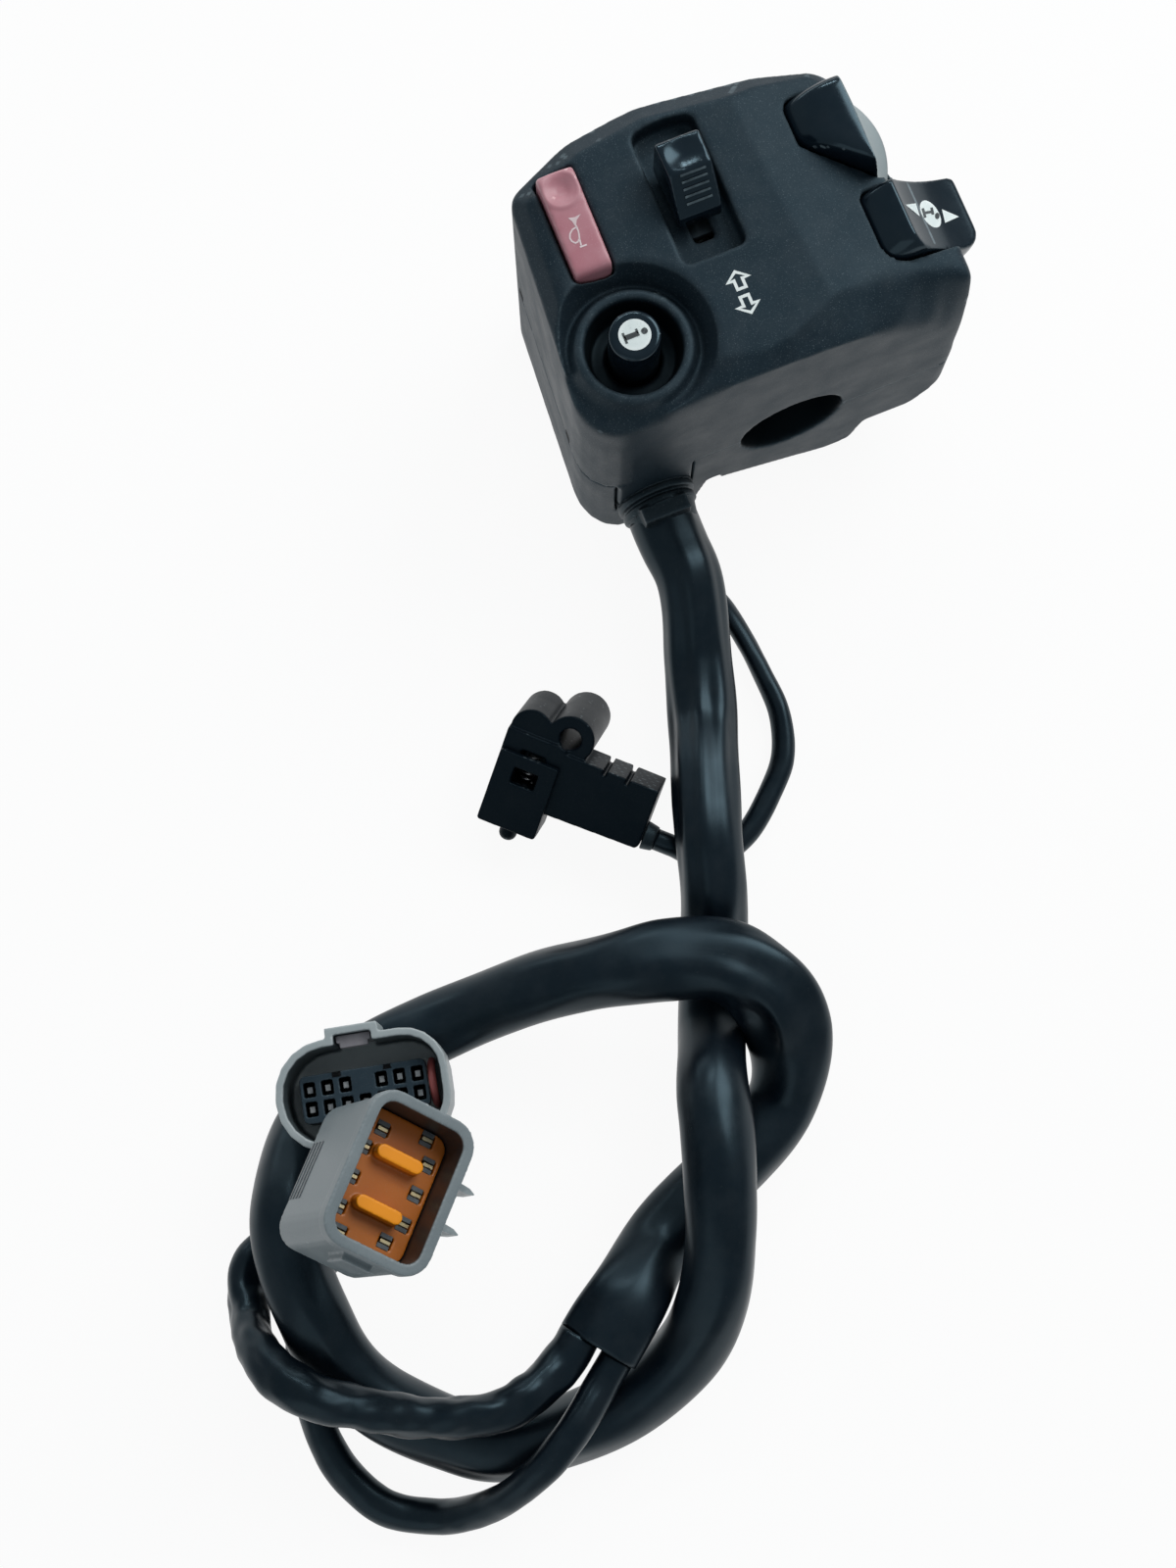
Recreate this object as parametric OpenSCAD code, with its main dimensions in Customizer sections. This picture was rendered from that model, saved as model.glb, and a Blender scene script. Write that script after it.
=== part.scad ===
// Left-hand handlebar switch cluster with its loom, connectors and clutch switch.
// X is the rider's up, Y runs outboard along the bar, Z comes out of the switch face.
// The origin is on the bar's axis at the inboard end of the case.

/* [Handlebar] */
// Diameter of the handlebar that the case clamps round
bar_d = 22.2; // [20:0.1:25.4]
// Wall of the case round the handlebar
bore_wall = 2.8; // [2.2:0.1:3.4]

/* [Case] */
// From the bar's axis to the left side at its widest
case_left = 45; // [43:0.5:49]
// From the bar's axis to the right side at its widest
case_right = 36.5; // [34.5:0.5:40]
// Length of the case along the bar
case_len = 60; // [58:0.5:66]
// Height of the switch face above the bar's axis
face_h = 41; // [39:0.5:46]
// Depth of the back below the bar's axis
back_h = 28; // [26:0.5:32]
// Wall of both shells
case_wall = 2.6; // [2:0.1:3]
// Diameter of the three case screws
case_screw_d = 4; // [3:0.5:4.5]

/* [Horn button] */
// Width of the horn button
horn_w = 7.6; // [6:0.2:9]
// Length of the horn button along the bar
horn_len = 21; // [18:0.5:22]
// How far the free end stands above the face
horn_rise = 3.2; // [2:0.2:5]
// Diameter of the horn button's pivot pin
horn_pin_d = 2; // [1.6:0.1:2.4]

/* [Turn switch] */
// Width of the recess round the turn knob
recess_w = 12.8; // [12:0.2:14]
// Length of the recess along the bar
recess_len = 29; // [28:0.5:31]
// Depth of the recess below the face
recess_depth = 4.5; // [3.5:0.25:5]
// Width of the turn knob
knob_w = 9; // [7:0.5:10]
// Length of the turn knob along the bar
knob_len = 13.5; // [12:0.5:15]
// Height of the turn knob above the face
knob_rise = 9; // [6:0.5:11]
// Travel of the turn knob to each side
turn_throw = 5; // [3:0.5:5.5]
// Travel of the turn knob when pressed to cancel
turn_press = 1.2; // [0.8:0.1:1.5]

/* [Info button] */
// Diameter of the info button
info_d = 10; // [8:0.5:12]
// Outer diameter of the raised rim round the info button
info_rim_d = 22.4; // [20:0.4:24]
// Travel of the info button
info_travel = 2; // [1:0.25:2.5]

/* [Rockers] */
// Radius of both rockers about their pins
rocker_r = 11.8; // [11:0.1:12.4]
// Length of the beam rocker along its pin
beam_len = 20; // [18:0.5:20.5]
// Length of the scroll rocker along its pin
scroll_len = 15.2; // [14:0.4:15.6]
// Depth of the finger scoop in each rocker
scoop_depth = 1.5; // [0.5:0.25:2.5]
// Diameter of the rocker pins
rocker_pin_d = 3; // [2.5:0.1:3.6]

/* [Cords] */
// Diameter of the main loom's sheath
loom_d = 14; // [12:0.5:14]
// Diameter of the branch to the socket connector
socket_branch_d = 8.4; // [6:0.2:8.4]
// Diameter of the branch to the plug connector
plug_branch_d = 6.8; // [5:0.2:7]
// Diameter of the lead to the clutch switch
clutch_lead_d = 4.6; // [3.6:0.2:4.8]

/* [Connectors] */
// Width of the socket connector's hood
hood_w = 33.8; // [33:0.2:38]
// Depth of the socket connector's hood across its rows
hood_h = 21.8; // [20:0.2:22]
// Length of the hood along the plugging direction
hood_len = 15; // [14:0.2:18]
// Wall of the hood
hood_wall = 1.5; // [1.2:0.1:1.8]
// Length of the plug shell's long side
plug_w = 29; // [27:0.5:31]
// Length of the plug shell's short side
plug_h = 20.8; // [19:0.4:22]
// Depth of the plug shell along the plugging direction
plug_len = 25.5; // [23:0.5:28]
// Wall of the plug shell
plug_wall = 1.6; // [1.3:0.1:2]

/* [Clutch switch] */
// Thickness of the clutch switch body
clutch_body_t = 10; // [10:0.2:12]
// Diameter of the clutch switch plunger
plunger_d = 3.8; // [3:0.1:4]
// How far the clutch plunger stands out
plunger_out = 4.4; // [3:0.2:5]
// Bore of the boss that takes the clutch switch's screw
clutch_hole_d = 4.6; // [3.6:0.1:5.4]

/* [Fits] */
// Radial clearance of a moving piece on its pin
pin_play = 0.05; // [0.02:0.01:0.08]
// Radial clearance of a fixed pin in its seat
seat_play = 0.02; // [0.01:0.01:0.04]
// Clearance of a moving piece in its opening
slide_gap = 0.4; // [0.3:0.05:0.5]
// Clearance of a fixed piece in its pocket
fixed_gap = 0.15; // [0.1:0.05:0.25]

/* [Hidden] */
$fn = 48;
big = 200;
eps = 0.5;

// Levels along Z, from the bar outwards
bar_r = bar_d / 2;
saddle_r = bar_r + bore_wall;
bay_x = saddle_r + 1.2;
bay_z = saddle_r + 0.6;
board_t = 1.6;
board_z = saddle_r + 3;
board_top = board_z + board_t;

// The case's outline seen from above, anticlockwise from the inboard left corner
outline = [
    [-case_left, 0], [case_right, 0], [case_right, 16], [case_right - 5.5, case_len - 16],
    [case_right - 11.5, case_len - 7], [12, case_len - 3.2], [-12, case_len - 0.4],
    [-27, case_len - 2.6], [-case_left + 4, case_len - 9]
];
outline_r = [9, 3.5, 20, 12, 4, 30, 40, 20, 5];
// Which way each corner of the outline moves when a wall's thickness is taken off
outline_in = [[1, 1], [-1, 1], [-1, 0], [-1, 0], [-1, -1], [0, -1], [0, -1], [0, -1], [1, -1]];

// Face features: two planes that meet at a crease, and an inboard border that sweeps in an S
crease = [8, 10];
crease_top = [5, case_len];
face_fall = 9;
// Points of the border: across, in from the inboard end, and the level of the end face's top edge there
border = [
    [-case_left - 1, 6.6, face_h - 7.5], [-33, 6.6, face_h - 5.6], [-27, 6.6, face_h - 3.8],
    [-19, 6.2, face_h - 2.6], [-13.7, 4.6, face_h - 2.2], [-7.3, 3.5, face_h - 2.2],
    [-2.2, 4.2, face_h - 2.3], [2.9, 6.4, face_h - 2.6], [6.2, 7.7, face_h - 3], [9.6, 9.2, face_h - 3.4],
    [case_right - 19.5, 9, face_h - 5.8], [case_right - 11, 7.8, face_h - 11.5],
    [case_right - 6, 6.2, face_h - 17.5], [case_right - 2, 4.4, face_h - 27], [case_right + 3.5, 1.5, 0]
];
edge_in = 4.5;
edge_pitch = 42;

// Info button and its crater in the inboard left corner
info_x = -case_left + 15.2;
info_y = 14.4;
rim_h = face_h - 2.8;
rim_r = info_rim_d / 2;
crater_floor = face_h - 10;
crater_flare = 3.6;
well_r = rim_r - 1.6;
well_taper = 1.2;
moat_r = rim_r + 4.6;
moat_floor = face_h - 6;
moat_slope = 2.6;
corner_floor = face_h - 7;
well_floor = face_h - 10;
well_base = well_floor - 3;
tub_r = rim_r + 1.2;
info_top = face_h + 3;
info_flange_r = info_d / 2 + 1.6;
info_flange_t = 1.8;
info_base = well_base - 0.2 - info_flange_t;
info_switch = [5, 5, 2.6];
info_stem_r = 1.3;
info_stem_h = max(info_base - info_travel - 0.1 - board_top - info_switch[2], 0.3);

// Horn button
horn_x = -case_left + 13.2;
horn_y1 = case_len - 9.5;
horn_y0 = horn_y1 - horn_len;
horn_pivot = [horn_x, horn_y0 + 2, face_h - 5.5];
horn_skirt = face_h - 7.5;
horn_ear_w = 2.8;
horn_end_gap = slide_gap + 0.8;
dimple = [4.2, 7, 0.8];
lever_gap = 1.9;
horn_slot_drop = 6;
horn_lever_y = horn_y1 - 4.5;
horn_switch = [6, 8, 7.5];

// Turn switch
turn_x = -8.8;
turn_y = case_len - 20.8;
recess_floor = face_h - recess_depth;
tub_wall = 2.4;
tub_base = recess_floor - tub_wall;
carriage_top = tub_base - 0.3;
carriage_h = 5.6;
carriage_base = carriage_top - carriage_h;
carriage_w = recess_w - 0.8;
carriage_len = 15;
stem_w = 3.4;
stem_len = 8.4;
stem_base = carriage_top - 1.4;
pocket_base = carriage_base + 1.2;
tray_wall = 1.5;
knob_rib_r = 0.55;
tray_floor = carriage_base - 0.3;
spring_solid = 2.3;
tray_in = carriage_len / 2 + turn_throw + spring_solid;

// Rockers turn on two pins that lie along the right of the face, the beam rocker's further in
scroll_axis = [case_right - 6, face_h - 10.4];
beam_axis = [case_right - 12, face_h - 8.7];
rocker_gap = slide_gap;
web = 1.8;
web_wall = 0.5;
scroll_y = 11;
beam_y = scroll_y + scroll_len + 2 * rocker_gap + web;
scroll_ends = [4, 1.4];
beam_ends = [1.4, 2];
// The beam rocker's inboard side slants, and a lobe of the case follows it above the pin
slant_from = [beam_axis[0] + 2.3, beam_y];
slant_to = [beam_axis[0] - 10, beam_y + 11];
pin_end = 2.4;
pin_end_gap = 0.2;
rocker_wall = 2.2;
scroll_face = 51;
beam_face = 27;
half_chord = 9.6;
scoop_r = (half_chord * half_chord + scoop_depth * scoop_depth) / (2 * scoop_depth);
scoop_at = sqrt(rocker_r * rocker_r - half_chord * half_chord) - scoop_depth + scoop_r;
spring_pocket_r = rocker_pin_d / 2 + 2.7;
spring_pocket = 6;
nub_drop = 6;
nub_r = 1.1;
switch_gap = 4;
rocker_switch = [8.2, 3.5, 8];
switch_x = -rocker_r - switch_gap - rocker_switch[0];
rocker_switch_at = [[scroll_axis, scroll_y + scroll_len / 2], [beam_axis, beam_y + 0.68 * beam_len]];

// Screws: position of each case screw and the level of its head's seat
case_screw_r = case_screw_d / 2;
case_screws_at = [[case_right - 12, 11.5], [case_right - 13.5, case_len - 17], [-24, case_len - 13]];
screw_seat = -13;
screw_reach = 11;
screw_head_r = case_screw_r + 1.7;
screw_head_h = case_screw_d;
boss_r = case_screw_r + 2.2;
boss_rib = 2.4;
posts_at = [[-22.5, case_len - 9], [-14.5, 9.5], [11.5, case_len - 10], [8, 28.5]];
post_r = 2.6;
board_screw_r = 1.1;
board_screw_reach = 6;
board_head = [2.2, 1.7];

// Cable gland in the inboard wall
gland_x = -case_left + 15;
gland_z = -14;
gland_neck = loom_d / 2 + 1.2;
gland_flange = gland_neck + 1.8;
gland_flange_t = 2;
gland_end = 12;
wires_d = 5.4;
header_at = [gland_x, 22];
header = [16, 7, 6];

// The surface that everything lies on
table = -back_h;

// Cord routes
loom_path = [
    [gland_x, -gland_end, gland_z], [gland_x, -18, gland_z], [-31, -24, -16], [-34, -35, -20],
    [-38, -47, -20], [-43, -60, -15], [-47, -71, -13], [-50, -81, -16], [-54, -91, -21],
    [-61, -107, -18], [-66, -118, -8.5], [-69, -127, -5.5], [-72, -136, -5], [-76, -146, -6],
    [-82, -157, -10], [-93, -166, -18], [-107, -170, -21], [-131, -168, -21],
    [-141, -161, -21], [-150, -151, -19], [-155, -141, -15.5], [-156, -130, -12.5],
    [-156, -120, -12], [-154, -110, -12], [-149, -101, -16.5], [-142, -94, -21], [-131, -88, -21],
    [-109, -86, -20], [-91, -87, -12.5], [-74, -90, -6], [-62, -93, -5], [-53, -98, -5],
    [-47, -107, -8], [-47, -117, -15], [-53, -126, -21], [-65, -133, -21], [-78, -138.5, -21],
    [-88, -143.5, -20], [-98, -151, -12], [-106, -157, -12]
];
socket_path = [
    [-108.7, -153.4, -12], [-112.7, -156.4, -12], [-126, -161, -8.5], [-142, -156.5, -7],
    [-152, -150.5, -6], [-161, -144, -4.5], [-167, -136, -8.5], [-169, -126, -19], [-165, -116, -23.8],
    [-156, -112.5, -23.8], [-144, -111, -23.8], [-135, -107, -23], [-129.5, -103, -20],
    [-127, -101, -15.5], [-127, -101, -11]
];
plug_route = [
    [-103.6, -160.2, -12], [-107.6, -163.2, -12], [-117, -170, -9.5], [-127, -175, -10.5],
    [-138, -177.5, -18], [-149, -176, -24.6], [-158, -170, -24.6], [-163, -160, -24.6],
    [-164, -148, -24.6], [-162, -136, -24.6], [-157, -124, -24.6], [-150, -120.5, -24],
    [-144, -118, -18], [-142, -113.5, -6]
];
clutch_route = [
    [-29, -21, -18], [-25, -24, -23.5], [-23, -31, -25.7], [-22, -42, -25.7], [-22, -51, -25.7],
    [-25, -60, -25.7], [-31, -66.5, -25.7], [-38, -72, -25.7], [-44, -74, -25.5], [-50, -73, -23.5]
];
// How far the last two leads run straight into what they end at
straight_run = 4;

// Socket connector: stands over the loom, mouth up
hood_at = [-130.1, -94.1, -11];
hood_yaw = -13;
hood_r = [10.4, 8.5];
hood_floor = 2;
latch_w = 10.4;
latch_out = 2;
latch_x = -0.6;
insert_w = hood_w - 2 * hood_wall - 5.8;
insert_h = hood_h - 2 * hood_wall - 9.4;
insert_top = hood_len - 5;
cell = [2.3, 2.9, 6];
contact = [1.2, 1.4, 4.6];
cell_pitch = 3.55;
cell_row = 1.9;
cells = [for (i = [-3:3]) [i, -1], for (i = [-3, -2, -1, 1, 2, 3]) [i, 1]];

// Plug connector: leans on the hood's rim
plug_at = [-138.7, -111.5, 10.6];
plug_lean = -14;
plug_tilt = 27;
plug_yaw = -46;
plug_axis = [sin(plug_tilt) * cos(plug_lean), sin(plug_tilt) * sin(plug_lean), cos(plug_tilt)];
plug_path = concat(plug_route, [plug_at - straight_run * plug_axis, plug_at]);
plug_r = 4.5;
plug_floor = 2;
lip = [0.6, 3];
key = [3.6, 0.9, 6.5];
keys_at = [-4, -9];
ramp_size = [6, 3, 8];
plug_mouth = 8;
plug_plate = plug_len - plug_floor - plug_mouth;
insert_gap = 0.2;
fin_h = 3;
fin_t = 2.6;
fin_len = 9.6;
fins_at = [[0, -5], [0, 5]];
blades_y = [-10.2, -5.9, 0, 5.9, 10.2];
blade_x = 5.2;
blade = [2.2, 0.8, 9];
blade_play = 0.1;
pocket = [2.8, 2.4, 5];

// Clutch switch: leans back on its two bosses
clutch_yaw = -44;
clutch_tilt = 30;
clutch_at = [-89.4, -48.4, table + clutch_body_t * cos(clutch_tilt)];
clutch_w = 13;
clutch_h = 20.7;
cover_t = 1.6;
cover_h = clutch_h - 4.4;
window_w = 5.2;
slit = [0.8, 1.3];
arm = [33.6, 6, 19.5];
clutch_bosses = [[4.6, 21.4, 4.4, 16], [12.8, 22.6, 5, 20]];
screw_boss = clutch_bosses[1];
boss_web = [clutch_h - 6, 9, 14];
plunger_at = [6.8, 4.5];
slits_at = [arm[0] - 12.2, arm[0] - 7.2];
plunger_in = 9;
spring_end = 17;
boot_at = [7.8, 5];
boot_len = 2.6;
boot_out = boot_at[0] * cos(clutch_tilt) + boot_at[1] * sin(clutch_tilt);
boot_up = boot_at[0] * sin(clutch_tilt) - boot_at[1] * cos(clutch_tilt);
clutch_along = [cos(clutch_yaw), sin(clutch_yaw), 0];
clutch_across = [-sin(clutch_yaw), cos(clutch_yaw), 0];
boot_tip = clutch_at + (arm[0] + boot_len) * clutch_along + boot_out * clutch_across + [0, 0, boot_up];
clutch_path = concat(clutch_route, [boot_tip + straight_run * clutch_along, boot_tip]);

// Small helpers for outlines
function unit(v) = v / norm(v);
function corner(a, v, b, r, n) =
    r <= 0 ? [v] :
    let (u = unit(a - v), w = unit(b - v), half = acos(u * w) / 2)
    let (c = v + unit(u + w) * r / sin(half), run = r / tan(half))
    let (p = v + u * run - c, q = v + w * run - c)
    let (from = atan2(p[1], p[0]), turn = atan2(p[0] * q[1] - p[1] * q[0], p * q))
    [for (i = [0:n]) c + r * [cos(from + turn * i / n), sin(from + turn * i / n)]];
function rounded(pts, radii, n = 5) =
    let (m = len(pts))
    [for (i = [0:m - 1]) each corner(pts[(i + m - 1) % m], pts[i], pts[(i + 1) % m], radii[i], n)];
function slab(w, h, r) =
    rounded([[-w / 2, -h / 2], [w / 2, -h / 2], [w / 2, h / 2], [-w / 2, h / 2]], [r, r, r, r]);
function plan(d) =
    rounded([for (i = [0:8]) outline[i] + d * outline_in[i]], [for (r = outline_r) max(r - d, 1)]);

// Sweeps a round tube along points, keeping its rings from twisting
function tangents(p) =
    let (m = len(p) - 1)
    [for (i = [0:m])
        unit(unit(p[min(i + 1, m)] - p[min(i, m - 1)]) + unit(p[max(i, 1)] - p[max(i - 1, 0)]))];
function square_to(v, t) = unit(v - (v * t) * t);
function carried(t) =
    let (side = abs(t[0][2]) > 0.9 ? [1, 0, 0] : [0, 0, 1], m = len(t) - 1)
    [for (i = 0, v = square_to(side, t[0]); i <= m; i = i + 1, v = square_to(v, t[min(i, m)])) v];
module tube(path, d, sides) {
    t = tangents(path);
    n = carried(t);
    m = len(path);
    rings = [for (i = [0:m - 1]) for (k = [0:sides - 1])
        path[i] + d / 2 * (cos(360 * k / sides) * n[i] + sin(360 * k / sides) * cross(t[i], n[i]))];
    loft(rings, m, sides);
}
// Joins rings of points, each with the same number of points, into one closed form
module loft(rings, m, sides) {
    walls = [for (i = [0:m - 2]) for (k = [0:sides - 1])
        let (a = i * sides + k, b = i * sides + (k + 1) % sides)
        each [[a, a + sides, b + sides], [a, b + sides, b]]];
    caps = [[for (k = [0:sides - 1]) k], [for (k = [sides - 1:-1:0]) (m - 1) * sides + k]];
    polyhedron(rings, concat(walls, caps), convexity = 8);
}

// A compression spring standing on its local origin, and its least gap to itself
function coil_path(r, wire, len, turns) =
    [for (i = [0:8 * turns]) [r * cos(45 * i), r * sin(45 * i), wire / 2 + (len - wire) * i / (8 * turns)]];
function self_gap(p, d, skip) =
    min([for (i = [0:len(p) - 1 - skip]) for (j = [i + skip:len(p) - 1]) norm(p[i] - p[j])]) - d;
module coil(r, wire, len, turns) {
    path = coil_path(r, wire, len, turns);
    echo(coil_gap = self_gap(path, wire, 6));
    tube(path, wire, 6);
}

// Removes what lies above a plane that falls to the right of a line at the face's height
module plane_cut(a, b, pitch, d) {
    run = b - a;
    translate([a[0], a[1], face_h]) rotate([0, 0, atan2(run[1], run[0])]) rotate([pitch, 0, 0])
        translate([-big, -big, -d]) cube([2 * big, 2 * big, big]);
}
module edge_cut(i, inset, pitch, d) {
    a = outline[i];
    b = outline[(i + 1) % len(outline)];
    run = unit(b - a);
    plane_cut(a + inset * [-run[1], run[0]], b + inset * [-run[1], run[0]], pitch, d);
}

// Removes what lies above the border's slope, which steepens round the right corner
function face_at(x) = face_h - max(x - crease[0], 0) * tan(face_fall);
module border_cut(d) {
    rings = [for (b = border)
        let (y = b[1] + d, low = face_at(b[0]) - d, slope = (face_at(b[0]) - b[2]) / b[1])
        each [[b[0], y, low], [b[0], y, big], [b[0], -1, big], [b[0], -1, low - slope * (y + 1)]]];
    loft(rings, len(border), 4);
}

// The front half's form, or with d the space left inside a wall of that thickness
module case_form(d) {
    difference() {
        translate([0, 0, d > 0 ? -eps : 0]) linear_extrude(face_h - d + (d > 0 ? eps : 0)) polygon(plan(d));
        for (i = [4:7]) edge_cut(i, edge_in, edge_pitch, d);
        for (i = [1:3]) edge_cut(i, edge_in + 1.5, edge_pitch, d);
        edge_cut(8, edge_in, 24, d);
        edge_cut(8, edge_in / 2, 52, d + 0.9);
        plane_cut(crease, crease_top, face_fall, d);
        border_cut(d);
        translate([info_x, info_y, moat_floor - d])
            cylinder(r1 = moat_r - moat_slope + d, r2 = moat_r + d, h = face_h - moat_floor + d + 0.01);
        translate([info_x - big + d, info_y - big + d, corner_floor - d]) cube(big);
    }
}
module crater() {
    intersection() {
        translate([info_x, info_y, crater_floor - 1])
            cylinder(r1 = rim_r + crater_flare, r2 = rim_r, h = rim_h - crater_floor + 1);
        linear_extrude(face_h) polygon(plan(0));
    }
}
module bore() {
    rotate([-90, 0, 0]) translate([0, 0, -big / 2]) cylinder(r = bar_r, h = big);
}
module on_axis(at, y) {
    translate([at[0], y, at[1]]) rotate([-90, 0, 0]) children();
}
// A rocker's round body, or with grow the space that it turns in
module rocker_drum(len, ends, grow) {
    r = rocker_r + grow;
    rotate_extrude() polygon(rounded([[0, -grow], [r, -grow], [r, len + grow], [0, len + grow]],
        [0, ends[0] + grow, ends[1] + grow, 0]));
}
// What lies outboard of the beam rocker's slanting side
module beam_side(grow) {
    run = unit(slant_to - slant_from);
    out = grow * [-run[1], run[0]];
    inward = big / 2 * [run[1], -run[0]];
    a = slant_from - big / 4 * run + out;
    b = slant_to + big / 4 * run + out;
    linear_extrude(big, center = true) polygon([a, a + inward, b + inward, b]);
}
module turn_recess() {
    half = recess_len / 2;
    side = recess_w / 2;
    translate([turn_x, turn_y, recess_floor]) linear_extrude(big)
        polygon(rounded([[-side, -half], [side, -half], [side, half - 1], [0, half + 0.6], [-side, half - 1]],
            [1.5, 1.5, 2, 20, 2]));
}
module horn_ears() {
    inner = horn_w / 2 + slide_gap;
    for (s = [-1, 1]) translate([horn_x + s * (inner + horn_ear_w / 2), horn_pivot[1], 0])
        translate([-horn_ear_w / 2, -2.6, horn_pivot[2] - 2.3]) cube([horn_ear_w, 5.2, big]);
}
module rocker_nubs(r, x0) {
    for (s = rocker_switch_at) on_axis(s[0], s[1])
        translate([x0, nub_drop, 0]) rotate([0, 90, 0]) cylinder(r = r, h = -x0 - nub_end());
}
function nub_end() = sqrt(rocker_r * rocker_r - (nub_drop - nub_r) * (nub_drop - nub_r)) + 0.3;

// What stays solid inside the front shell
module inner_bosses() {
    translate([info_x, info_y, well_base]) cylinder(r = tub_r, h = big);
    translate([turn_x - recess_w / 2 - tub_wall, turn_y - recess_len / 2 - tub_wall, tub_base])
        cube([recess_w + 2 * tub_wall, recess_len + 2 * tub_wall + 1, big]);
    horn_ears();
    for (p = posts_at) translate([p[0], p[1], board_top]) cylinder(r = post_r, h = big);
    translate([case_screws_at[2][0], case_screws_at[2][1], -eps]) {
        cylinder(r = boss_r, h = screw_reach + eps + 2);
        translate([-boss_rib / 2, 0, 0]) cube([boss_rib, big, screw_reach + eps + 2]);
    }
    on_axis(scroll_axis, scroll_y - rocker_gap - pin_end - 1)
        cylinder(r = rocker_r + rocker_gap + rocker_wall, h = scroll_len + 2 * rocker_gap + pin_end + 2);
    on_axis(beam_axis, beam_y - rocker_gap - 1)
        cylinder(r = rocker_r + rocker_gap + rocker_wall, h = beam_len + 2 * rocker_gap + pin_end + 2);
}
module front_bay() {
    difference() {
        intersection() {
            case_form(case_wall);
            union() {
                translate([-big, 0, -eps]) cube([big - bay_x, big, big]);
                translate([-big, 0, bay_z]) cube([big + case_right - 20, big, big]);
            }
        }
        inner_bosses();
    }
}
module right_pocket() {
    translate([saddle_r + 3, 18, -13]) cube([case_right - saddle_r - 6.5, case_len - 40, 13 + bay_z - 1]);
}

module front_shell() {
    color("#2b3136") difference() {
        union() {
            difference() {
                case_form(0);
                front_bay();
            }
            crater();
            gland_tongue();
        }
        bore();
        right_pocket();
        translate([horn_x - horn_w / 2 - slide_gap, horn_y0 - slide_gap, horn_skirt - horn_slot_drop])
            cube([horn_w + 2 * slide_gap, horn_len + slide_gap + horn_end_gap, big]);
        translate(horn_pivot) rotate([0, 90, 0])
            cylinder(r = horn_pin_d / 2 + seat_play, h = pin_span() + 2 * pin_end_gap, center = true);
        turn_recess();
        translate([turn_x - stem_w / 2 - slide_gap, turn_y - slot_half(), tub_base - eps])
            cube([stem_w + 2 * slide_gap, 2 * slot_half(), big]);
        translate([info_x, info_y, well_floor])
            cylinder(r1 = well_r - well_taper, r2 = well_r, h = rim_h - well_floor + 0.01);
        translate([info_x, info_y, rim_h]) cylinder(r = well_r, h = big);
        translate([info_x, info_y, well_base - eps]) cylinder(r = info_d / 2 + slide_gap, h = big);
        on_axis(scroll_axis, scroll_y) rocker_drum(scroll_len, scroll_ends, rocker_gap);
        beam_pocket();
        rocker_pins(seat_play, pin_end_gap);
        rocker_nubs(nub_r + slide_gap, -rocker_r - 6);
        for (p = case_screws_at) translate([p[0], p[1], -eps])
            cylinder(r = case_screw_r + seat_play, h = screw_reach + 2 * eps);
        for (p = posts_at) translate([p[0], p[1], board_top - eps])
            cylinder(r = board_screw_r + seat_play, h = board_screw_reach + 1 + eps);
    }
}
function pin_span() = horn_w + 2 * slide_gap + 2 * horn_ear_w - 2 * pin_end_gap;
function slot_half() = turn_throw + stem_len / 2 + slide_gap;

// The beam rocker's pocket: above its pin it stops at the slanting side, below it is the whole drum
module beam_pocket() {
    intersection() {
        on_axis(beam_axis, beam_y) rocker_drum(beam_len, beam_ends, rocker_gap);
        union() {
            beam_side(rocker_gap);
            translate([-big, -big, beam_axis[1] - big]) cube([2 * big, 2 * big, big]);
        }
    }
}
// Each pin ends in the web between the rockers, short of the other rocker's space
module rocker_pins(play, end_gap) {
    scroll_from = scroll_y - rocker_gap - pin_end;
    scroll_to = scroll_y + scroll_len + rocker_gap + web - web_wall - pin_end_gap;
    beam_from = beam_y - rocker_gap - web + web_wall + pin_end_gap;
    beam_to = beam_y + beam_len + rocker_gap + pin_end;
    for (p = [[scroll_axis, scroll_from, scroll_to], [beam_axis, beam_from, beam_to]])
        on_axis(p[0], p[1] - end_gap)
            cylinder(r = rocker_pin_d / 2 + play, h = p[2] - p[1] + 2 * end_gap);
}

// The gland sits in a slot in the rear shell, closed by a tongue on the front shell
module gland_tongue() {
    difference() {
        translate([gland_x - gland_neck, 0, gland_z]) cube([2 * gland_neck, case_wall, -gland_z + 1]);
        gland_hole();
    }
}
module gland_hole() {
    translate([gland_x, -1, gland_z]) rotate([-90, 0, 0])
        cylinder(r = gland_neck + fixed_gap, h = case_wall + 2);
}

// Section of the back, along the bar: a flat foot on the left and a ridge under the bar
back_section = rounded([
    [-case_left - 1, 1], [-case_left - 1, -back_h], [gland_x + 10, -back_h], [gland_x + 12.5, -18],
    [-15, -18], [-14.5, -20], [2, -25.4], [9, -back_h], [16, -back_h], [18.5, -19.4],
    [case_right - 7.5, -19.5], [case_right + 1, -9], [case_right + 1, 1]
], [0, 8, 0, 1, 0, 0, 6, 2, 2, 1, 4, 8, 0]);
wire_bay = rounded([
    [-case_left + case_wall, 1], [-case_left + case_wall, -back_h + case_wall],
    [gland_x + 7.2, -back_h + case_wall], [gland_x + 9.8, -18 + case_wall],
    [-bay_x, -18 + case_wall], [-bay_x, 1]
], [0, 5.4, 1, 1, 1, 0]);
module along_bar() {
    rotate([90, 0, 0]) translate([0, 0, -big]) linear_extrude(2 * big) children();
}
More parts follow.
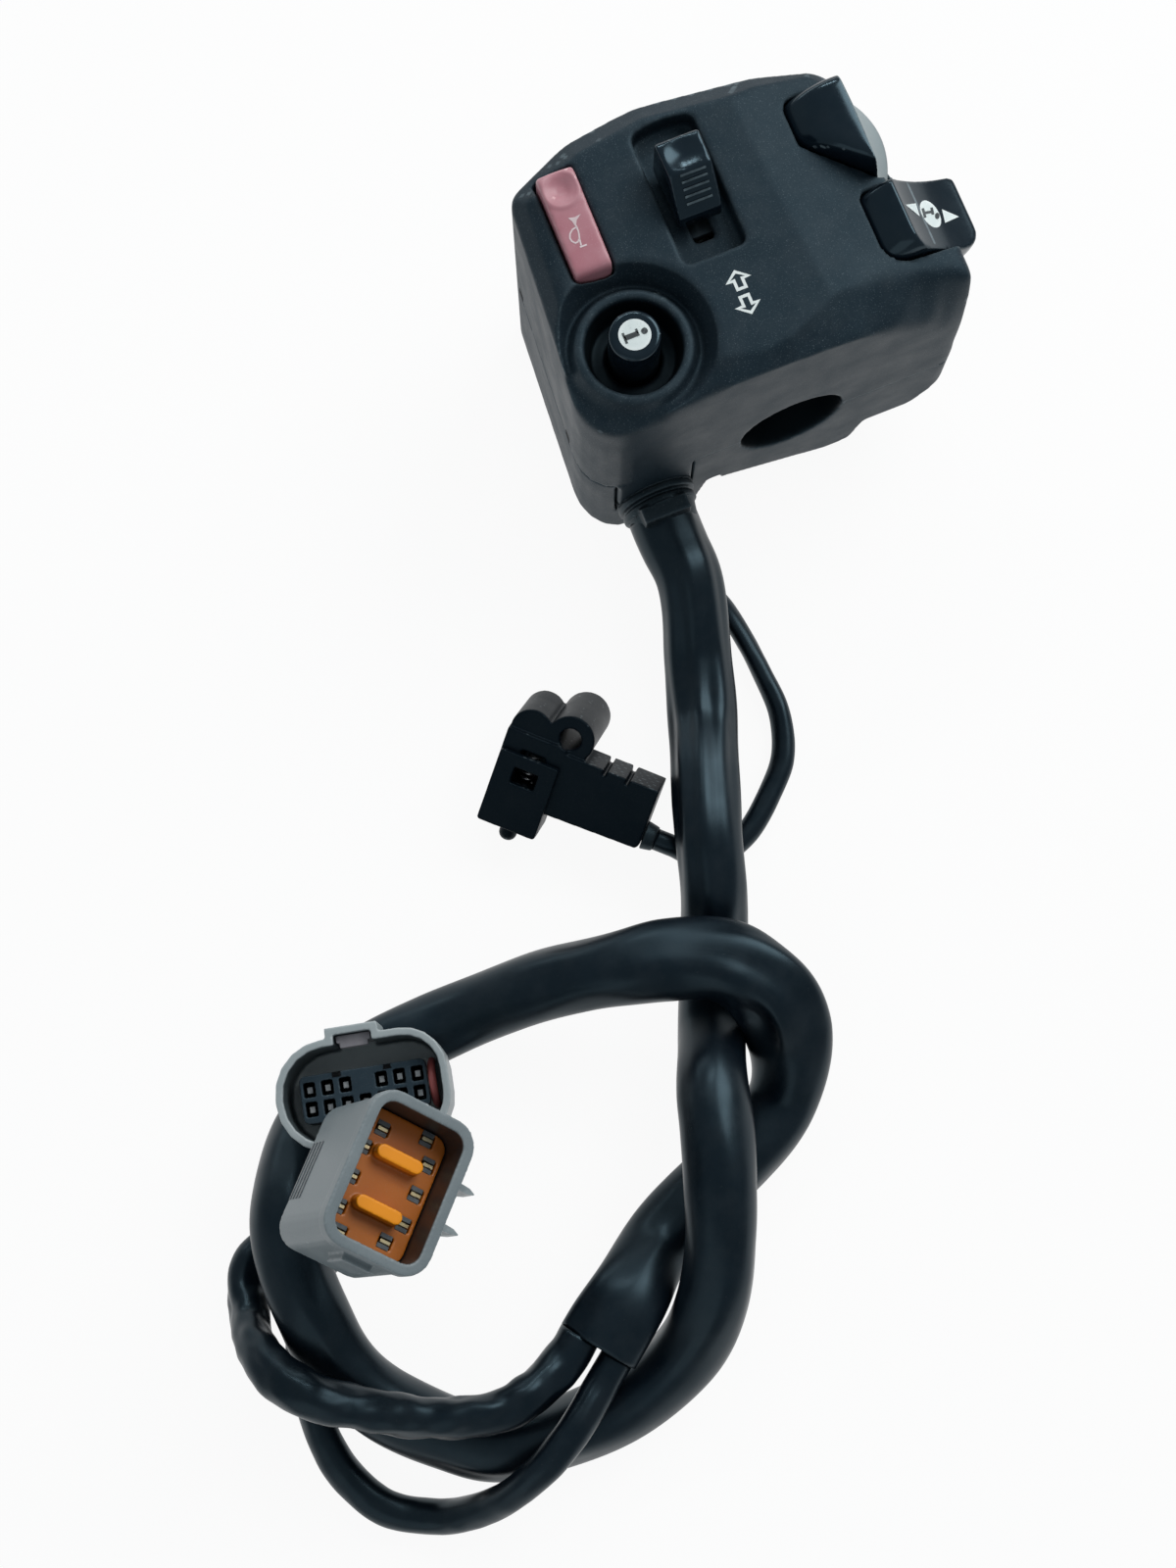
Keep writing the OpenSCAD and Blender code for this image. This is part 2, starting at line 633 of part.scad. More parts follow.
module rear_shell() {
    p = case_screws_at[2];
    color("#262c31") difference() {
        union() {
            difference() {
                intersection() {
                    translate([0, 0, -back_h]) linear_extrude(back_h) polygon(plan(0));
                    along_bar() polygon(back_section);
                }
                intersection() {
                    translate([0, 0, -back_h]) linear_extrude(back_h + 1) polygon(plan(case_wall));
                    along_bar() polygon(wire_bay);
                }
            }
            translate([p[0], p[1], -back_h]) cylinder(r = screw_head_r + 2, h = back_h);
        }
        bore();
        right_pocket();
        gland_hole();
        translate([gland_x, case_wall - fixed_gap, gland_z]) rotate([-90, 0, 0])
            cylinder(r = gland_flange + fixed_gap, h = gland_flange_t + 0.8);
        translate([gland_x - gland_neck - fixed_gap, -1, gland_z])
            cube([2 * (gland_neck + fixed_gap), case_wall + 2, -gland_z + 1]);
        for (q = case_screws_at) translate([q[0], q[1], 0]) {
            translate([0, 0, screw_seat - 1]) cylinder(r = case_screw_r + fixed_gap, h = -screw_seat + 2);
            translate([0, 0, -back_h - 1]) cylinder(r = screw_head_r + 0.3, h = back_h + 1 + screw_seat);
        }
    }
}
module case_screws() {
    color("silver") for (p = case_screws_at) translate([p[0], p[1], screw_seat]) difference() {
        union() {
            cylinder(r = case_screw_r, h = screw_reach - screw_seat);
            translate([0, 0, -screw_head_h]) cylinder(r = screw_head_r, h = screw_head_h);
        }
        translate([0, 0, -screw_head_h - 1]) cylinder(r = case_screw_r * 0.75, h = 3, $fn = 6);
    }
}

// Electrics inside the front shell
module circuit_board() {
    right = case_right - 21.5;
    color("#1f5c36") difference() {
        translate([0, 0, board_z]) linear_extrude(board_t) polygon([
            [-case_left + case_wall + 1.9, 6.5], [right, 6.5], [right, case_len - 11],
            [-8, case_len - 5], [-25, case_len - 6.5], [-case_left + case_wall + 5.5, case_len - 12.5]]);
        for (p = posts_at) translate([p[0], p[1], board_z - 1])
            cylinder(r = board_screw_r + fixed_gap, h = board_t + 2);
    }
}
module board_screws() {
    color("silver") for (p = posts_at) translate([p[0], p[1], board_z]) {
        cylinder(r = board_screw_r, h = board_t + board_screw_reach);
        translate([0, 0, -board_head[1]]) cylinder(r = board_head[0], h = board_head[1]);
    }
}
module wire_header() {
    color("ivory") translate([header_at[0] - header[0] / 2, header_at[1], board_z - header[2]]) cube(header);
}
module inner_wires() {
    y0 = case_wall + 0.2 + gland_flange_t;
    color("#303030") tube([
        [gland_x, y0, gland_z], [gland_x, y0 + 4, gland_z], [gland_x, y0 + 9, gland_z + 8],
        [gland_x, y0 + 10, board_z - 12], [gland_x, header_at[1] - 3, board_z - header[2] / 2],
        [gland_x, header_at[1], board_z - header[2] / 2]], wires_d, 8);
}
module button_switches() {
    color("#222222") {
        translate([info_x - info_switch[0] / 2, info_y - info_switch[1] / 2, board_top]) cube(info_switch);
        translate([info_x, info_y, board_top + info_switch[2]])
            cylinder(r = info_stem_r, h = info_stem_h);
        translate([horn_x - horn_switch[0] / 2, horn_lever_y - horn_switch[1] / 2, board_top])
            cube(horn_switch);
    }
}
module rocker_switches() {
    color("#222222") {
        for (s = rocker_switch_at) on_axis(s[0], s[1])
            translate([switch_x, nub_drop - rocker_switch[1], -rocker_switch[2] / 2])
                cube([rocker_switch[0], switch_h(s[0]), rocker_switch[2]]);
        rocker_nubs(nub_r, -rocker_r - switch_gap - 0.2);
    }
}

function switch_h(at) = at[1] - board_top - nub_drop + rocker_switch[1];

// Horn button: a paddle that pivots near its inboard end
module horn_button() {
    top = face_h + horn_rise;
    lever = board_top + horn_switch[2] + lever_gap;
    color("#b0545a") difference() {
        translate([horn_x - horn_w / 2, 0, 0]) rotate([90, 0, 90]) linear_extrude(horn_w) polygon(rounded([
            [horn_y0, horn_skirt], [horn_lever_y - 1.5, horn_skirt], [horn_lever_y - 1.5, lever],
            [horn_lever_y + 1.5, lever], [horn_lever_y + 1.5, horn_skirt], [horn_y1, horn_skirt],
            [horn_y1, top], [horn_y0, face_h + 1.4]], [2, 0, 0.5, 0.5, 0, 1, 1.5, 1.5]));
        translate(horn_pivot) rotate([0, 90, 0])
            cylinder(r = horn_pin_d / 2 + pin_play, h = big, center = true);
        translate([horn_x, horn_y1 - dimple[0], top + dimple[1] - dimple[2]]) sphere(r = dimple[1]);
    }
}
module horn_pivot_pin() {
    color("silver") translate(horn_pivot) rotate([0, 90, 0])
        cylinder(r = horn_pin_d / 2, h = pin_span(), center = true);
}
module horn_spring() {
    color("lightgrey") translate([horn_x, horn_lever_y - 8, board_top])
        coil(2.1, 0.6, horn_skirt - board_top, 9);
}

// Turn switch: a knob pressed down into a carriage that slides along the bar
module turn_tray() {
    side = carriage_w / 2 + 0.3;
    color("#3a3a3a") difference() {
        translate([turn_x - side - tray_wall, turn_y - tray_in - tray_wall, tray_floor - tray_wall])
            cube([2 * (side + tray_wall), 2 * (tray_in + tray_wall), tub_base - tray_floor + tray_wall]);
        translate([turn_x - side, turn_y - tray_in, tray_floor]) cube([2 * side, 2 * tray_in, big]);
        translate([info_x, info_y, crater_floor - case_wall - 0.3])
            cylinder(r = moat_r + case_wall + 0.3, h = big);
    }
}
module turn_carriage() {
    color("ivory") difference() {
        translate([turn_x - carriage_w / 2, turn_y - carriage_len / 2, carriage_base])
            cube([carriage_w, carriage_len, carriage_h]);
        translate([turn_x - stem_w / 2 - 0.3, turn_y - stem_len / 2 - 0.3, pocket_base])
            cube([stem_w + 0.6, stem_len + 0.6, big]);
    }
}
module turn_knob() {
    y0 = turn_y - knob_len / 2;
    y1 = turn_y + knob_len / 2;
    top = face_h + knob_rise;
    foot = recess_floor + turn_press + 0.7;
    ramp = [y0 + 0.46 * knob_len, top];
    toe = [y0, face_h + 1.2];
    color("#1c1f22") {
        difference() {
            translate([turn_x - knob_w / 2, 0, 0]) rotate([90, 0, 90]) linear_extrude(knob_w)
                polygon(rounded([[y0, foot], [y1, foot], [y1, top - 0.4], ramp, toe], [0.5, 0.5, 1, 1.5, 1]));
            translate([turn_x, y1 - 0.27 * knob_len, top + 10.6]) sphere(r = 11.4);
        }
        for (i = [1:5]) let (p = toe + (ramp - toe) * i / 6.2)
            translate([turn_x, p[0], p[1]]) rotate([0, 90, 0])
                cylinder(r = knob_rib_r, h = knob_w - 1.2, center = true);
        translate([turn_x - stem_w / 2, turn_y - stem_len / 2, stem_base])
            cube([stem_w, stem_len, foot - stem_base + 0.5]);
    }
}
module turn_centring_springs() {
    len = tray_in - carriage_len / 2;
    color("lightgrey") for (s = [-1, 1])
        translate([turn_x, turn_y + s * tray_in, carriage_base + carriage_h / 2]) rotate([s * 90, 0, 0])
            coil(1.8, 0.5, len, 5);
}
module turn_cancel_spring() {
    color("lightgrey") translate([turn_x, turn_y, pocket_base]) coil(1.2, 0.4, stem_base - pocket_base, 3);
}

// Info button, held in the well by its flange
module info_button() {
    color("#1c1f22") translate([info_x, info_y, 0]) rotate_extrude() polygon(rounded([
        [0, info_base], [info_flange_r, info_base], [info_flange_r, info_base + info_flange_t],
        [info_d / 2, info_base + info_flange_t], [info_d / 2, info_top], [0, info_top]],
        [0, 0, 0, 0, 0.8, 0]));
}
module info_spring() {
    color("lightgrey") translate([info_x, info_y, board_top]) coil(4.3, 0.6, info_base - board_top, 4);
}

// Rockers
module rocker(len, ends, face_angle, pocket_at) {
    difference() {
        rocker_drum(len, ends, 0);
        rotate([0, 0, -face_angle]) translate([scoop_at, 0, -1]) cylinder(r = scoop_r, h = len + 2, $fn = 96);
        translate([0, 0, -1]) cylinder(r = rocker_pin_d / 2 + pin_play, h = len + 2);
        translate([0, 0, pocket_at]) cylinder(r = spring_pocket_r, h = spring_pocket + 1);
    }
}
module beam_rocker() {
    color("#1c1f22") intersection() {
        on_axis(beam_axis, beam_y) rocker(beam_len, beam_ends, beam_face, beam_len - spring_pocket);
        beam_side(0);
    }
}
module scroll_rocker() {
    color("#1c1f22") on_axis(scroll_axis, scroll_y) rocker(scroll_len, scroll_ends, scroll_face, -1);
}
module rocker_pin() {
    color("silver") rocker_pins(0, 0);
}
module beam_spring() {
    color("lightgrey") on_axis(beam_axis, beam_y + beam_len - spring_pocket + 0.3)
        coil(rocker_pin_d / 2 + 1.2, 0.7, spring_pocket + rocker_gap - 0.3, 4);
}
module scroll_spring() {
    color("lightgrey") on_axis(scroll_axis, scroll_y - rocker_gap)
        coil(rocker_pin_d / 2 + 1.2, 0.7, spring_pocket + rocker_gap - 0.3, 4);
}

// Cable gland: a grooved collar and sleeve moulded round the loom
module cable_gland() {
    in = case_wall + 0.2;
    color("#23282c") {
        translate([gland_x, 0, gland_z]) rotate([90, 0, 0]) rotate_extrude() polygon([
            [0, -in - gland_flange_t], [gland_flange, -in - gland_flange_t], [gland_flange, -in],
            [gland_neck, -in], [gland_neck, 0.1],
            [gland_neck + 1.6, 0.1], [gland_neck + 1.6, 2.4], [gland_neck + 0.4, 2.6],
            [gland_neck + 0.4, 3.6], [gland_neck + 1.2, 3.8], [gland_neck + 1.2, 5.8],
            [gland_neck + 0.4, 6.4], [loom_d / 2 + 0.8, gland_end], [0, gland_end]]);
        translate([gland_x - 6, -gland_end + 0.5, gland_z + loom_d / 2 - 1]) cube([12, gland_end - 6, 2.8]);
    }
}

// Cords
module main_loom() {
    color("#1d2226") tube(loom_path, loom_d, 12);
}
module socket_branch() {
    color("#1d2226") tube(socket_path, socket_branch_d, 10);
}
module plug_branch() {
    color("#1d2226") tube(plug_path, plug_branch_d, 10);
}
module clutch_lead() {
    color("#1d2226") tube(clutch_path, clutch_lead_d, 8);
}

// Clutch switch
module at_clutch() {
    translate(clutch_at) rotate([0, 0, clutch_yaw]) rotate([clutch_tilt, 0, 0]) children();
}
module clutch_switch_body() {
    color("#16191c") at_clutch() difference() {
        union() {
            translate([0, 0, -clutch_body_t]) cube([clutch_w, clutch_h, clutch_body_t]);
            translate([clutch_w - 1, 0, -clutch_body_t]) linear_extrude(clutch_body_t) polygon([
                [0, arm[1] - 0.4], [arm[0] - clutch_w + 0.4, arm[1]], [arm[0] - clutch_w + 1, arm[1] + 1],
                [arm[0] - clutch_w + 1, arm[2]], [0, arm[2]]]);
            for (b = clutch_bosses) translate([b[0], b[1], -b[3]]) cylinder(r = b[2], h = b[3] - 1);
            translate([clutch_bosses[0][0], boss_web[0], -boss_web[2]])
                cube([clutch_bosses[1][0] - clutch_bosses[0][0], boss_web[1], boss_web[2] - 1]);
        }
        translate([screw_boss[0], screw_boss[1], -screw_boss[3] - 1])
            cylinder(r = clutch_hole_d / 2, h = screw_boss[3] + 2);
        translate([plunger_at[0], -1, -plunger_at[1]]) rotate([-90, 0, 0])
            cylinder(r = plunger_d / 2 + pin_play, h = spring_end + 1);
        translate([plunger_at[0] - window_w / 2, plunger_in + 0.6, -plunger_at[1] - 2.4])
            cube([window_w, spring_end - plunger_in - 0.6, big]);
        for (x = slits_at) translate([x, arm[2] - slit[1], -clutch_body_t - 1])
            cube([slit[0], slit[1] + 1, clutch_body_t + 2]);
    }
}
module clutch_switch_cover() {
    color("#1b1f22") at_clutch() difference() {
        linear_extrude(cover_t)
            polygon(rounded([[0.2, 0], [clutch_w, 0], [clutch_w, cover_h], [0.2, cover_h]],
                [0.6, 0.6, 0.6, 0.6]));
        translate([plunger_at[0] - window_w / 2, plunger_in + 1, -1]) cube([window_w, 3.6, cover_t + 2]);
    }
}
module clutch_plunger() {
    color("#2c3033") at_clutch() translate([plunger_at[0], -plunger_out, -plunger_at[1]]) rotate([-90, 0, 0])
        rotate_extrude() polygon(rounded([
            [0, 0], [plunger_d / 2, 0], [plunger_d / 2, plunger_out + plunger_in],
            [0, plunger_out + plunger_in]], [0, plunger_d / 2 - 0.2, 0.3, 0]));
}
module clutch_plunger_spring() {
    color("lightgrey") at_clutch() translate([plunger_at[0], plunger_in, -plunger_at[1]]) rotate([-90, 0, 0])
        coil(1.3, 0.5, spring_end - plunger_in, 6);
}
module clutch_lead_boot() {
    color("#101214") at_clutch() translate([arm[0], boot_at[0], -boot_at[1]]) rotate([0, 90, 0])
        cylinder(r1 = clutch_lead_d / 2 + 0.8, r2 = clutch_lead_d / 2 + 0.3, h = boot_len);
}

// Socket connector
module at_hood() {
    translate(hood_at) rotate([0, 0, hood_yaw]) children();
}
function hood_plan(d) =
    let (x = hood_w / 2 - d, y = hood_h / 2 - d, near = hood_r[0] - d, far = hood_r[1] - d)
    rounded([[-x, -y], [x, -y], [x, y], [-x, y]], [near, far, far, near]);
module socket_hood() {
    color("#8f979b") at_hood() difference() {
        union() {
            linear_extrude(hood_len) polygon(hood_plan(0));
            translate([latch_x - latch_w / 2, 0, 0]) cube([latch_w, hood_h / 2 + latch_out, hood_len]);
        }
        translate([0, 0, hood_floor]) linear_extrude(hood_len) polygon(hood_plan(hood_wall));
        translate([latch_x - latch_w / 2 + hood_wall, 0, hood_floor])
            cube([latch_w - 2 * hood_wall, hood_h / 2 + latch_out - hood_wall, hood_len]);
    }
}
function cell_at(c) = [c[0] * cell_pitch, c[1] * cell_row, insert_top];
module socket_insert() {
    color("#2d3438") at_hood() difference() {
        translate([0, 0, hood_floor]) linear_extrude(insert_top - hood_floor)
            polygon(slab(insert_w, insert_h, 1.2));
        for (c = cells) translate(cell_at(c) - [cell[0] / 2, cell[1] / 2, cell[2]]) cube(cell + [0, 0, 1]);
    }
}
module socket_contacts() {
    color("#b9b2a0") at_hood() for (c = cells)
        translate(cell_at(c) - [contact[0] / 2, contact[1] / 2, cell[2]]) cube(contact);
}
module socket_latch() {
    y = hood_h / 2 + latch_out - hood_wall;
    color("#7f878b") at_hood() translate([latch_x - latch_w / 2 + hood_wall + 0.3, 0, hood_floor]) {
        translate([0, y - 1.5, 0]) cube([latch_w - 2 * hood_wall - 0.6, 1.4, hood_len - hood_floor - 2.5]);
        translate([0.6, y - 2.6, hood_len - hood_floor - 5]) cube([latch_w - 2 * hood_wall - 1.8, 1.2, 2.5]);
    }
}
module socket_wires() {
    x = insert_w / 2 + 1.3;
    color("#c0393b") at_hood() for (y = [-1, 1])
        translate([x, y, hood_floor]) cylinder(r = 0.8, h = insert_top - hood_floor - 1.5);
}

// Plug connector
module at_plug() {
    translate(plug_at) rotate([0, 0, plug_lean]) rotate([0, plug_tilt, 0])
        rotate([0, 0, plug_yaw - plug_lean]) children();
}
module plug_shell() {
    color("#6f777c") at_plug() difference() {
        union() {
            linear_extrude(plug_len) polygon(slab(plug_h, plug_w, plug_r));
            translate([0, 0, plug_len - lip[1]]) linear_extrude(lip[1])
                polygon(slab(plug_h + 2 * lip[0], plug_w + 2 * lip[0], plug_r + lip[0]));
            for (y = keys_at) translate([plug_h / 2 - 1, y, plug_len - 9]) cube(key);
            translate([-ramp_size[0] / 2, -plug_w / 2 - 1.6, plug_len - 13]) cube(ramp_size);
        }
        translate([0, 0, plug_floor]) linear_extrude(plug_len)
            polygon(slab(plug_h - 2 * plug_wall, plug_w - 2 * plug_wall, plug_r - plug_wall));
    }
}
function blade_at(s, y) = [s * (blade_x + (abs(y) > 8 ? -0.8 : 1.2)), y + s, plug_floor + plug_plate];
module plug_insert() {
    inset = plug_wall + insert_gap;
    color("#c8691c") at_plug() difference() {
        union() {
            translate([0, 0, plug_floor]) linear_extrude(plug_plate)
                polygon(slab(plug_h - 2 * inset, plug_w - 2 * inset, plug_r - inset));
            for (f = fins_at) translate([f[0], f[1], plug_floor])
                linear_extrude(plug_plate + fin_h) polygon(slab(fin_len, fin_t, fin_t / 2 - 0.05));
        }
        for (s = [-1, 1]) for (y = blades_y) translate(blade_at(s, y)) {
            translate([-pocket[0] / 2, -pocket[1] / 2, -pocket[2]]) cube([pocket[0], pocket[1], big]);
            translate([-blade[0] / 2 - blade_play, -blade[1] / 2 - blade_play, -blade[2]])
                cube([blade[0] + 2 * blade_play, blade[1] + 2 * blade_play, big]);
        }
    }
}
module plug_blades() {
    color("#c9a24a") at_plug() for (s = [-1, 1]) for (y = blades_y)
        translate(blade_at(s, y) - [blade[0] / 2, blade[1] / 2, blade[2]]) cube(blade);
}

front_shell();
rear_shell();
case_screws();
circuit_board();
board_screws();
wire_header();
inner_wires();
button_switches();
rocker_switches();
horn_button();
horn_pivot_pin();
horn_spring();
turn_tray();
turn_carriage();
turn_knob();
turn_centring_springs();
turn_cancel_spring();
info_button();
info_spring();
rocker_pin();
beam_rocker();
beam_spring();
scroll_rocker();
scroll_spring();
cable_gland();
main_loom();
socket_branch();
plug_branch();
clutch_lead();
clutch_switch_body();
clutch_switch_cover();
clutch_plunger();
clutch_plunger_spring();
clutch_lead_boot();
socket_hood();
socket_insert();
socket_contacts();
socket_latch();
socket_wires();
plug_shell();
plug_insert();
plug_blades();
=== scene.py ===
import math

import bmesh
import bpy
import numpy as np
from mathutils import Matrix, Vector, noise
from mathutils.bvhtree import BVHTree


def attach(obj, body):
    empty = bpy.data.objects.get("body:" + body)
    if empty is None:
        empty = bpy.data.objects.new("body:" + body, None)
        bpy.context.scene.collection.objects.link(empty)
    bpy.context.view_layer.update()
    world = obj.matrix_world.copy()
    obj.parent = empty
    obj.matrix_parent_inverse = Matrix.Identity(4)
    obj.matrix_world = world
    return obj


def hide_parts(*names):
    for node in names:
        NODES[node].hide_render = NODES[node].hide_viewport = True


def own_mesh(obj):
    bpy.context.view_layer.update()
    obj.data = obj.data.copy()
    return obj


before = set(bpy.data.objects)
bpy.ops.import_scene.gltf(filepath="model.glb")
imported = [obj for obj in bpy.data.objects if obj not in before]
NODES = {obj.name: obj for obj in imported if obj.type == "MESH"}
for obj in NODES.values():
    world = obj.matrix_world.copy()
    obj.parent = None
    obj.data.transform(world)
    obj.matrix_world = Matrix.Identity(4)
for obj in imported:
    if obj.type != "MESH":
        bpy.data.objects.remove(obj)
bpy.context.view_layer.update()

MM = 0.001
TABLE_Z = -28.0
scene = bpy.context.scene

# Camera

CAMERA_AT = (-97.4, -129.6, 461.8)
CAMERA_ROLL = math.radians(22)
CAMERA_TILT = math.radians(10)


def set_camera():
    """The camera looks down on the switch lying on its back, rolled to the photograph's angle."""
    cr, sr = math.cos(CAMERA_ROLL), math.sin(CAMERA_ROLL)
    ct, st = math.cos(CAMERA_TILT), math.sin(CAMERA_TILT)
    right = Vector((cr, -sr, 0))
    up = Vector((sr * ct, cr * ct, st))
    back = right.cross(up)
    turn = Matrix((right, up, back)).transposed().to_4x4()
    lens = bpy.data.cameras.new("camera")
    lens.sensor_fit = "VERTICAL"
    lens.sensor_height = 36.0
    lens.lens = 54.0
    lens.clip_start = 0.01
    camera = bpy.data.objects.new("camera", lens)
    camera.matrix_world = Matrix.Translation(Vector(CAMERA_AT) * MM) @ turn
    scene.collection.objects.link(camera)
    scene.camera = camera


set_camera()
scene.view_settings.view_transform = "Standard"

# Shader groups


def shade(red, green, blue):
    """A colour written as 0 to 255 on screen, as the linear colour that a socket takes."""
    def straight(v):
        v = v / 255.0
        return v / 12.92 if v <= 0.04045 else ((v + 0.055) / 1.055) ** 2.4
    return (straight(red), straight(green), straight(blue), 1.0)


def new_group(name, inputs, outputs):
    """An empty shader group with its named sockets, and its two ends."""
    tree = bpy.data.node_groups.new(name, "ShaderNodeTree")
    kinds = {"c": "NodeSocketColor", "f": "NodeSocketFloat"}
    for label, kind, value in inputs:
        socket = tree.interface.new_socket(label, in_out="INPUT", socket_type=kinds[kind])
        socket.default_value = value
    for label, kind in outputs:
        tree.interface.new_socket(label, in_out="OUTPUT", socket_type=kinds[kind])
    return tree, tree.nodes.new("NodeGroupInput"), tree.nodes.new("NodeGroupOutput")


def put(tree, kind, settings=None, **values):
    """A node with its settings, and values for its sockets by name (an underscore stands for a space)."""
    made = tree.nodes.new(kind)
    for key, value in (settings or {}).items():
        setattr(made, key, value)
    for key, value in values.items():
        made.inputs[key.replace("_", " ")].default_value = value
    return made


def wire(tree, source, target):
    """Joins two sockets."""
    tree.links.new(source, target)


def feed(tree, socket, value):
    """Gives a socket another socket to follow, or a value of its own."""
    if hasattr(value, "is_linked"):
        wire(tree, value, socket)
    else:
        socket.default_value = value


def sums(tree, operation, a, b):
    """A maths node on two sockets or numbers; gives its output."""
    made = tree.nodes.new("ShaderNodeMath")
    made.operation = operation
    for socket, value in zip(made.inputs, (a, b)):
        feed(tree, socket, value)
    return made.outputs[0]


def stretch(tree, value, low, high, to_low=0.0, to_high=1.0):
    """Maps a value from one span to another, held at both ends."""
    made = put(tree, "ShaderNodeMapRange", {"clamp": True})
    for socket, number in zip(made.inputs, (value, low, high, to_low, to_high)):
        feed(tree, socket, number)
    return made.outputs[0]


def blended(tree, factor, a, b):
    """A mix of two colours."""
    made = tree.nodes.new("ShaderNodeMix")
    made.data_type = "RGBA"
    for socket, value in ((made.inputs[0], factor), (made.inputs[6], a), (made.inputs[7], b)):
        feed(tree, socket, value)
    return made.outputs[2]


def speckle(tree, where, scale, detail=2.0, rough=0.5):
    """Noise over the surface, from 0 to 1."""
    made = put(tree, "ShaderNodeTexNoise", Detail=detail, Roughness=rough)
    feed(tree, made.inputs["Vector"], where)
    feed(tree, made.inputs["Scale"], scale)
    return made.outputs["Fac"]


def make_moulded_grain():
    """Spark-eroded mould texture: fine pits, paler flecks, and slow cloudy change of colour and gloss."""
    tree, put_in, out = new_group(
        "moulded_grain",
        [("Colour", "c", (0.02, 0.02, 0.02, 1)), ("Cloud colour", "c", (0.03, 0.03, 0.03, 1)),
         ("Cloud", "f", 0.5), ("Fleck colour", "c", (0.2, 0.2, 0.2, 1)), ("Fleck", "f", 0.1),
         ("Grain scale", "f", 2500.0), ("Roughness", "f", 0.5), ("Roughness spread", "f", 0.1)],
        [("Colour", "c"), ("Roughness", "f"), ("Height", "f")])
    where = put(tree, "ShaderNodeTexCoord").outputs["Object"]
    i = put_in.outputs
    cloud = stretch(tree, speckle(tree, where, 110.0, 4.0, 0.6), 0.35, 0.65)
    colour = blended(tree, sums(tree, "MULTIPLY", cloud, i["Cloud"]), i["Colour"], i["Cloud colour"])
    pits = speckle(tree, where, i["Grain scale"], 3.0, 0.65)
    fine = sums(tree, "MULTIPLY", i["Grain scale"], 1.7)
    sparks = stretch(tree, speckle(tree, where, fine, 1.0), 0.64, 0.72)
    colour = blended(tree, sums(tree, "MULTIPLY", sparks, i["Fleck"]), colour, i["Fleck colour"])
    wire(tree, colour, out.inputs["Colour"])
    change = sums(tree, "SUBTRACT", sums(tree, "ADD", sums(tree, "MULTIPLY", cloud, 0.6),
                                         sums(tree, "MULTIPLY", pits, 0.8)), 0.7)
    wire(tree, sums(tree, "ADD", i["Roughness"], sums(tree, "MULTIPLY", change, i["Roughness spread"])),
         out.inputs["Roughness"])
    wire(tree, pits, out.inputs["Height"])
    return tree


def make_edge_rub_and_highlight():
    """Paler, smoother rub along raised edges, broken up as handling leaves it. The same pale edges also stand
    in for edge highlights: painted highlight as well as wear.
    """
    tree, put_in, out = new_group(
        "edge_rub_and_highlight",
        [("Colour", "c", (0.02, 0.02, 0.02, 1)), ("Rub colour", "c", (0.2, 0.2, 0.2, 1)), ("Rub", "f", 0.5),
         ("From", "f", 0.51)],
        [("Colour", "c"), ("Mask", "f")])
    shape = put(tree, "ShaderNodeNewGeometry")
    where = put(tree, "ShaderNodeTexCoord").outputs["Object"]
    i = put_in.outputs
    edge = stretch(tree, shape.outputs["Pointiness"], i["From"], sums(tree, "ADD", i["From"], 0.09))
    patchy = stretch(tree, speckle(tree, where, 420.0, 4.0, 0.6), 0.36, 0.62, 0.35, 1.0)
    mask = sums(tree, "MULTIPLY", sums(tree, "MULTIPLY", edge, patchy), i["Rub"])
    wire(tree, blended(tree, mask, i["Colour"], i["Rub colour"]), out.inputs["Colour"])
    wire(tree, mask, out.inputs["Mask"])
    return tree


def make_shelf_dust():
    """A thin film of dust and small specks on what faces up."""
    tree, put_in, out = new_group(
        "shelf_dust",
        [("Colour", "c", (0.02, 0.02, 0.02, 1)), ("Dust colour", "c", (0.35, 0.36, 0.36, 1)),
         ("Dust", "f", 0.1)],
        [("Colour", "c"), ("Mask", "f")])
    where = put(tree, "ShaderNodeTexCoord").outputs["Object"]
    facing = put(tree, "ShaderNodeSeparateXYZ")
    wire(tree, put(tree, "ShaderNodeNewGeometry").outputs["Normal"], facing.inputs[0])
    i = put_in.outputs
    up = stretch(tree, facing.outputs["Z"], 0.1, 0.95)
    film = stretch(tree, speckle(tree, where, 190.0, 5.0, 0.6), 0.40, 0.72)
    specks = stretch(tree, speckle(tree, where, 1500.0, 2.0, 0.5), 0.70, 0.76)
    settled = sums(tree, "MAXIMUM", sums(tree, "MULTIPLY", film, 0.55), specks)
    mask = sums(tree, "MULTIPLY", sums(tree, "MULTIPLY", up, settled), i["Dust"])
    wire(tree, blended(tree, mask, i["Colour"], i["Dust colour"]), out.inputs["Colour"])
    wire(tree, mask, out.inputs["Mask"])
    return tree


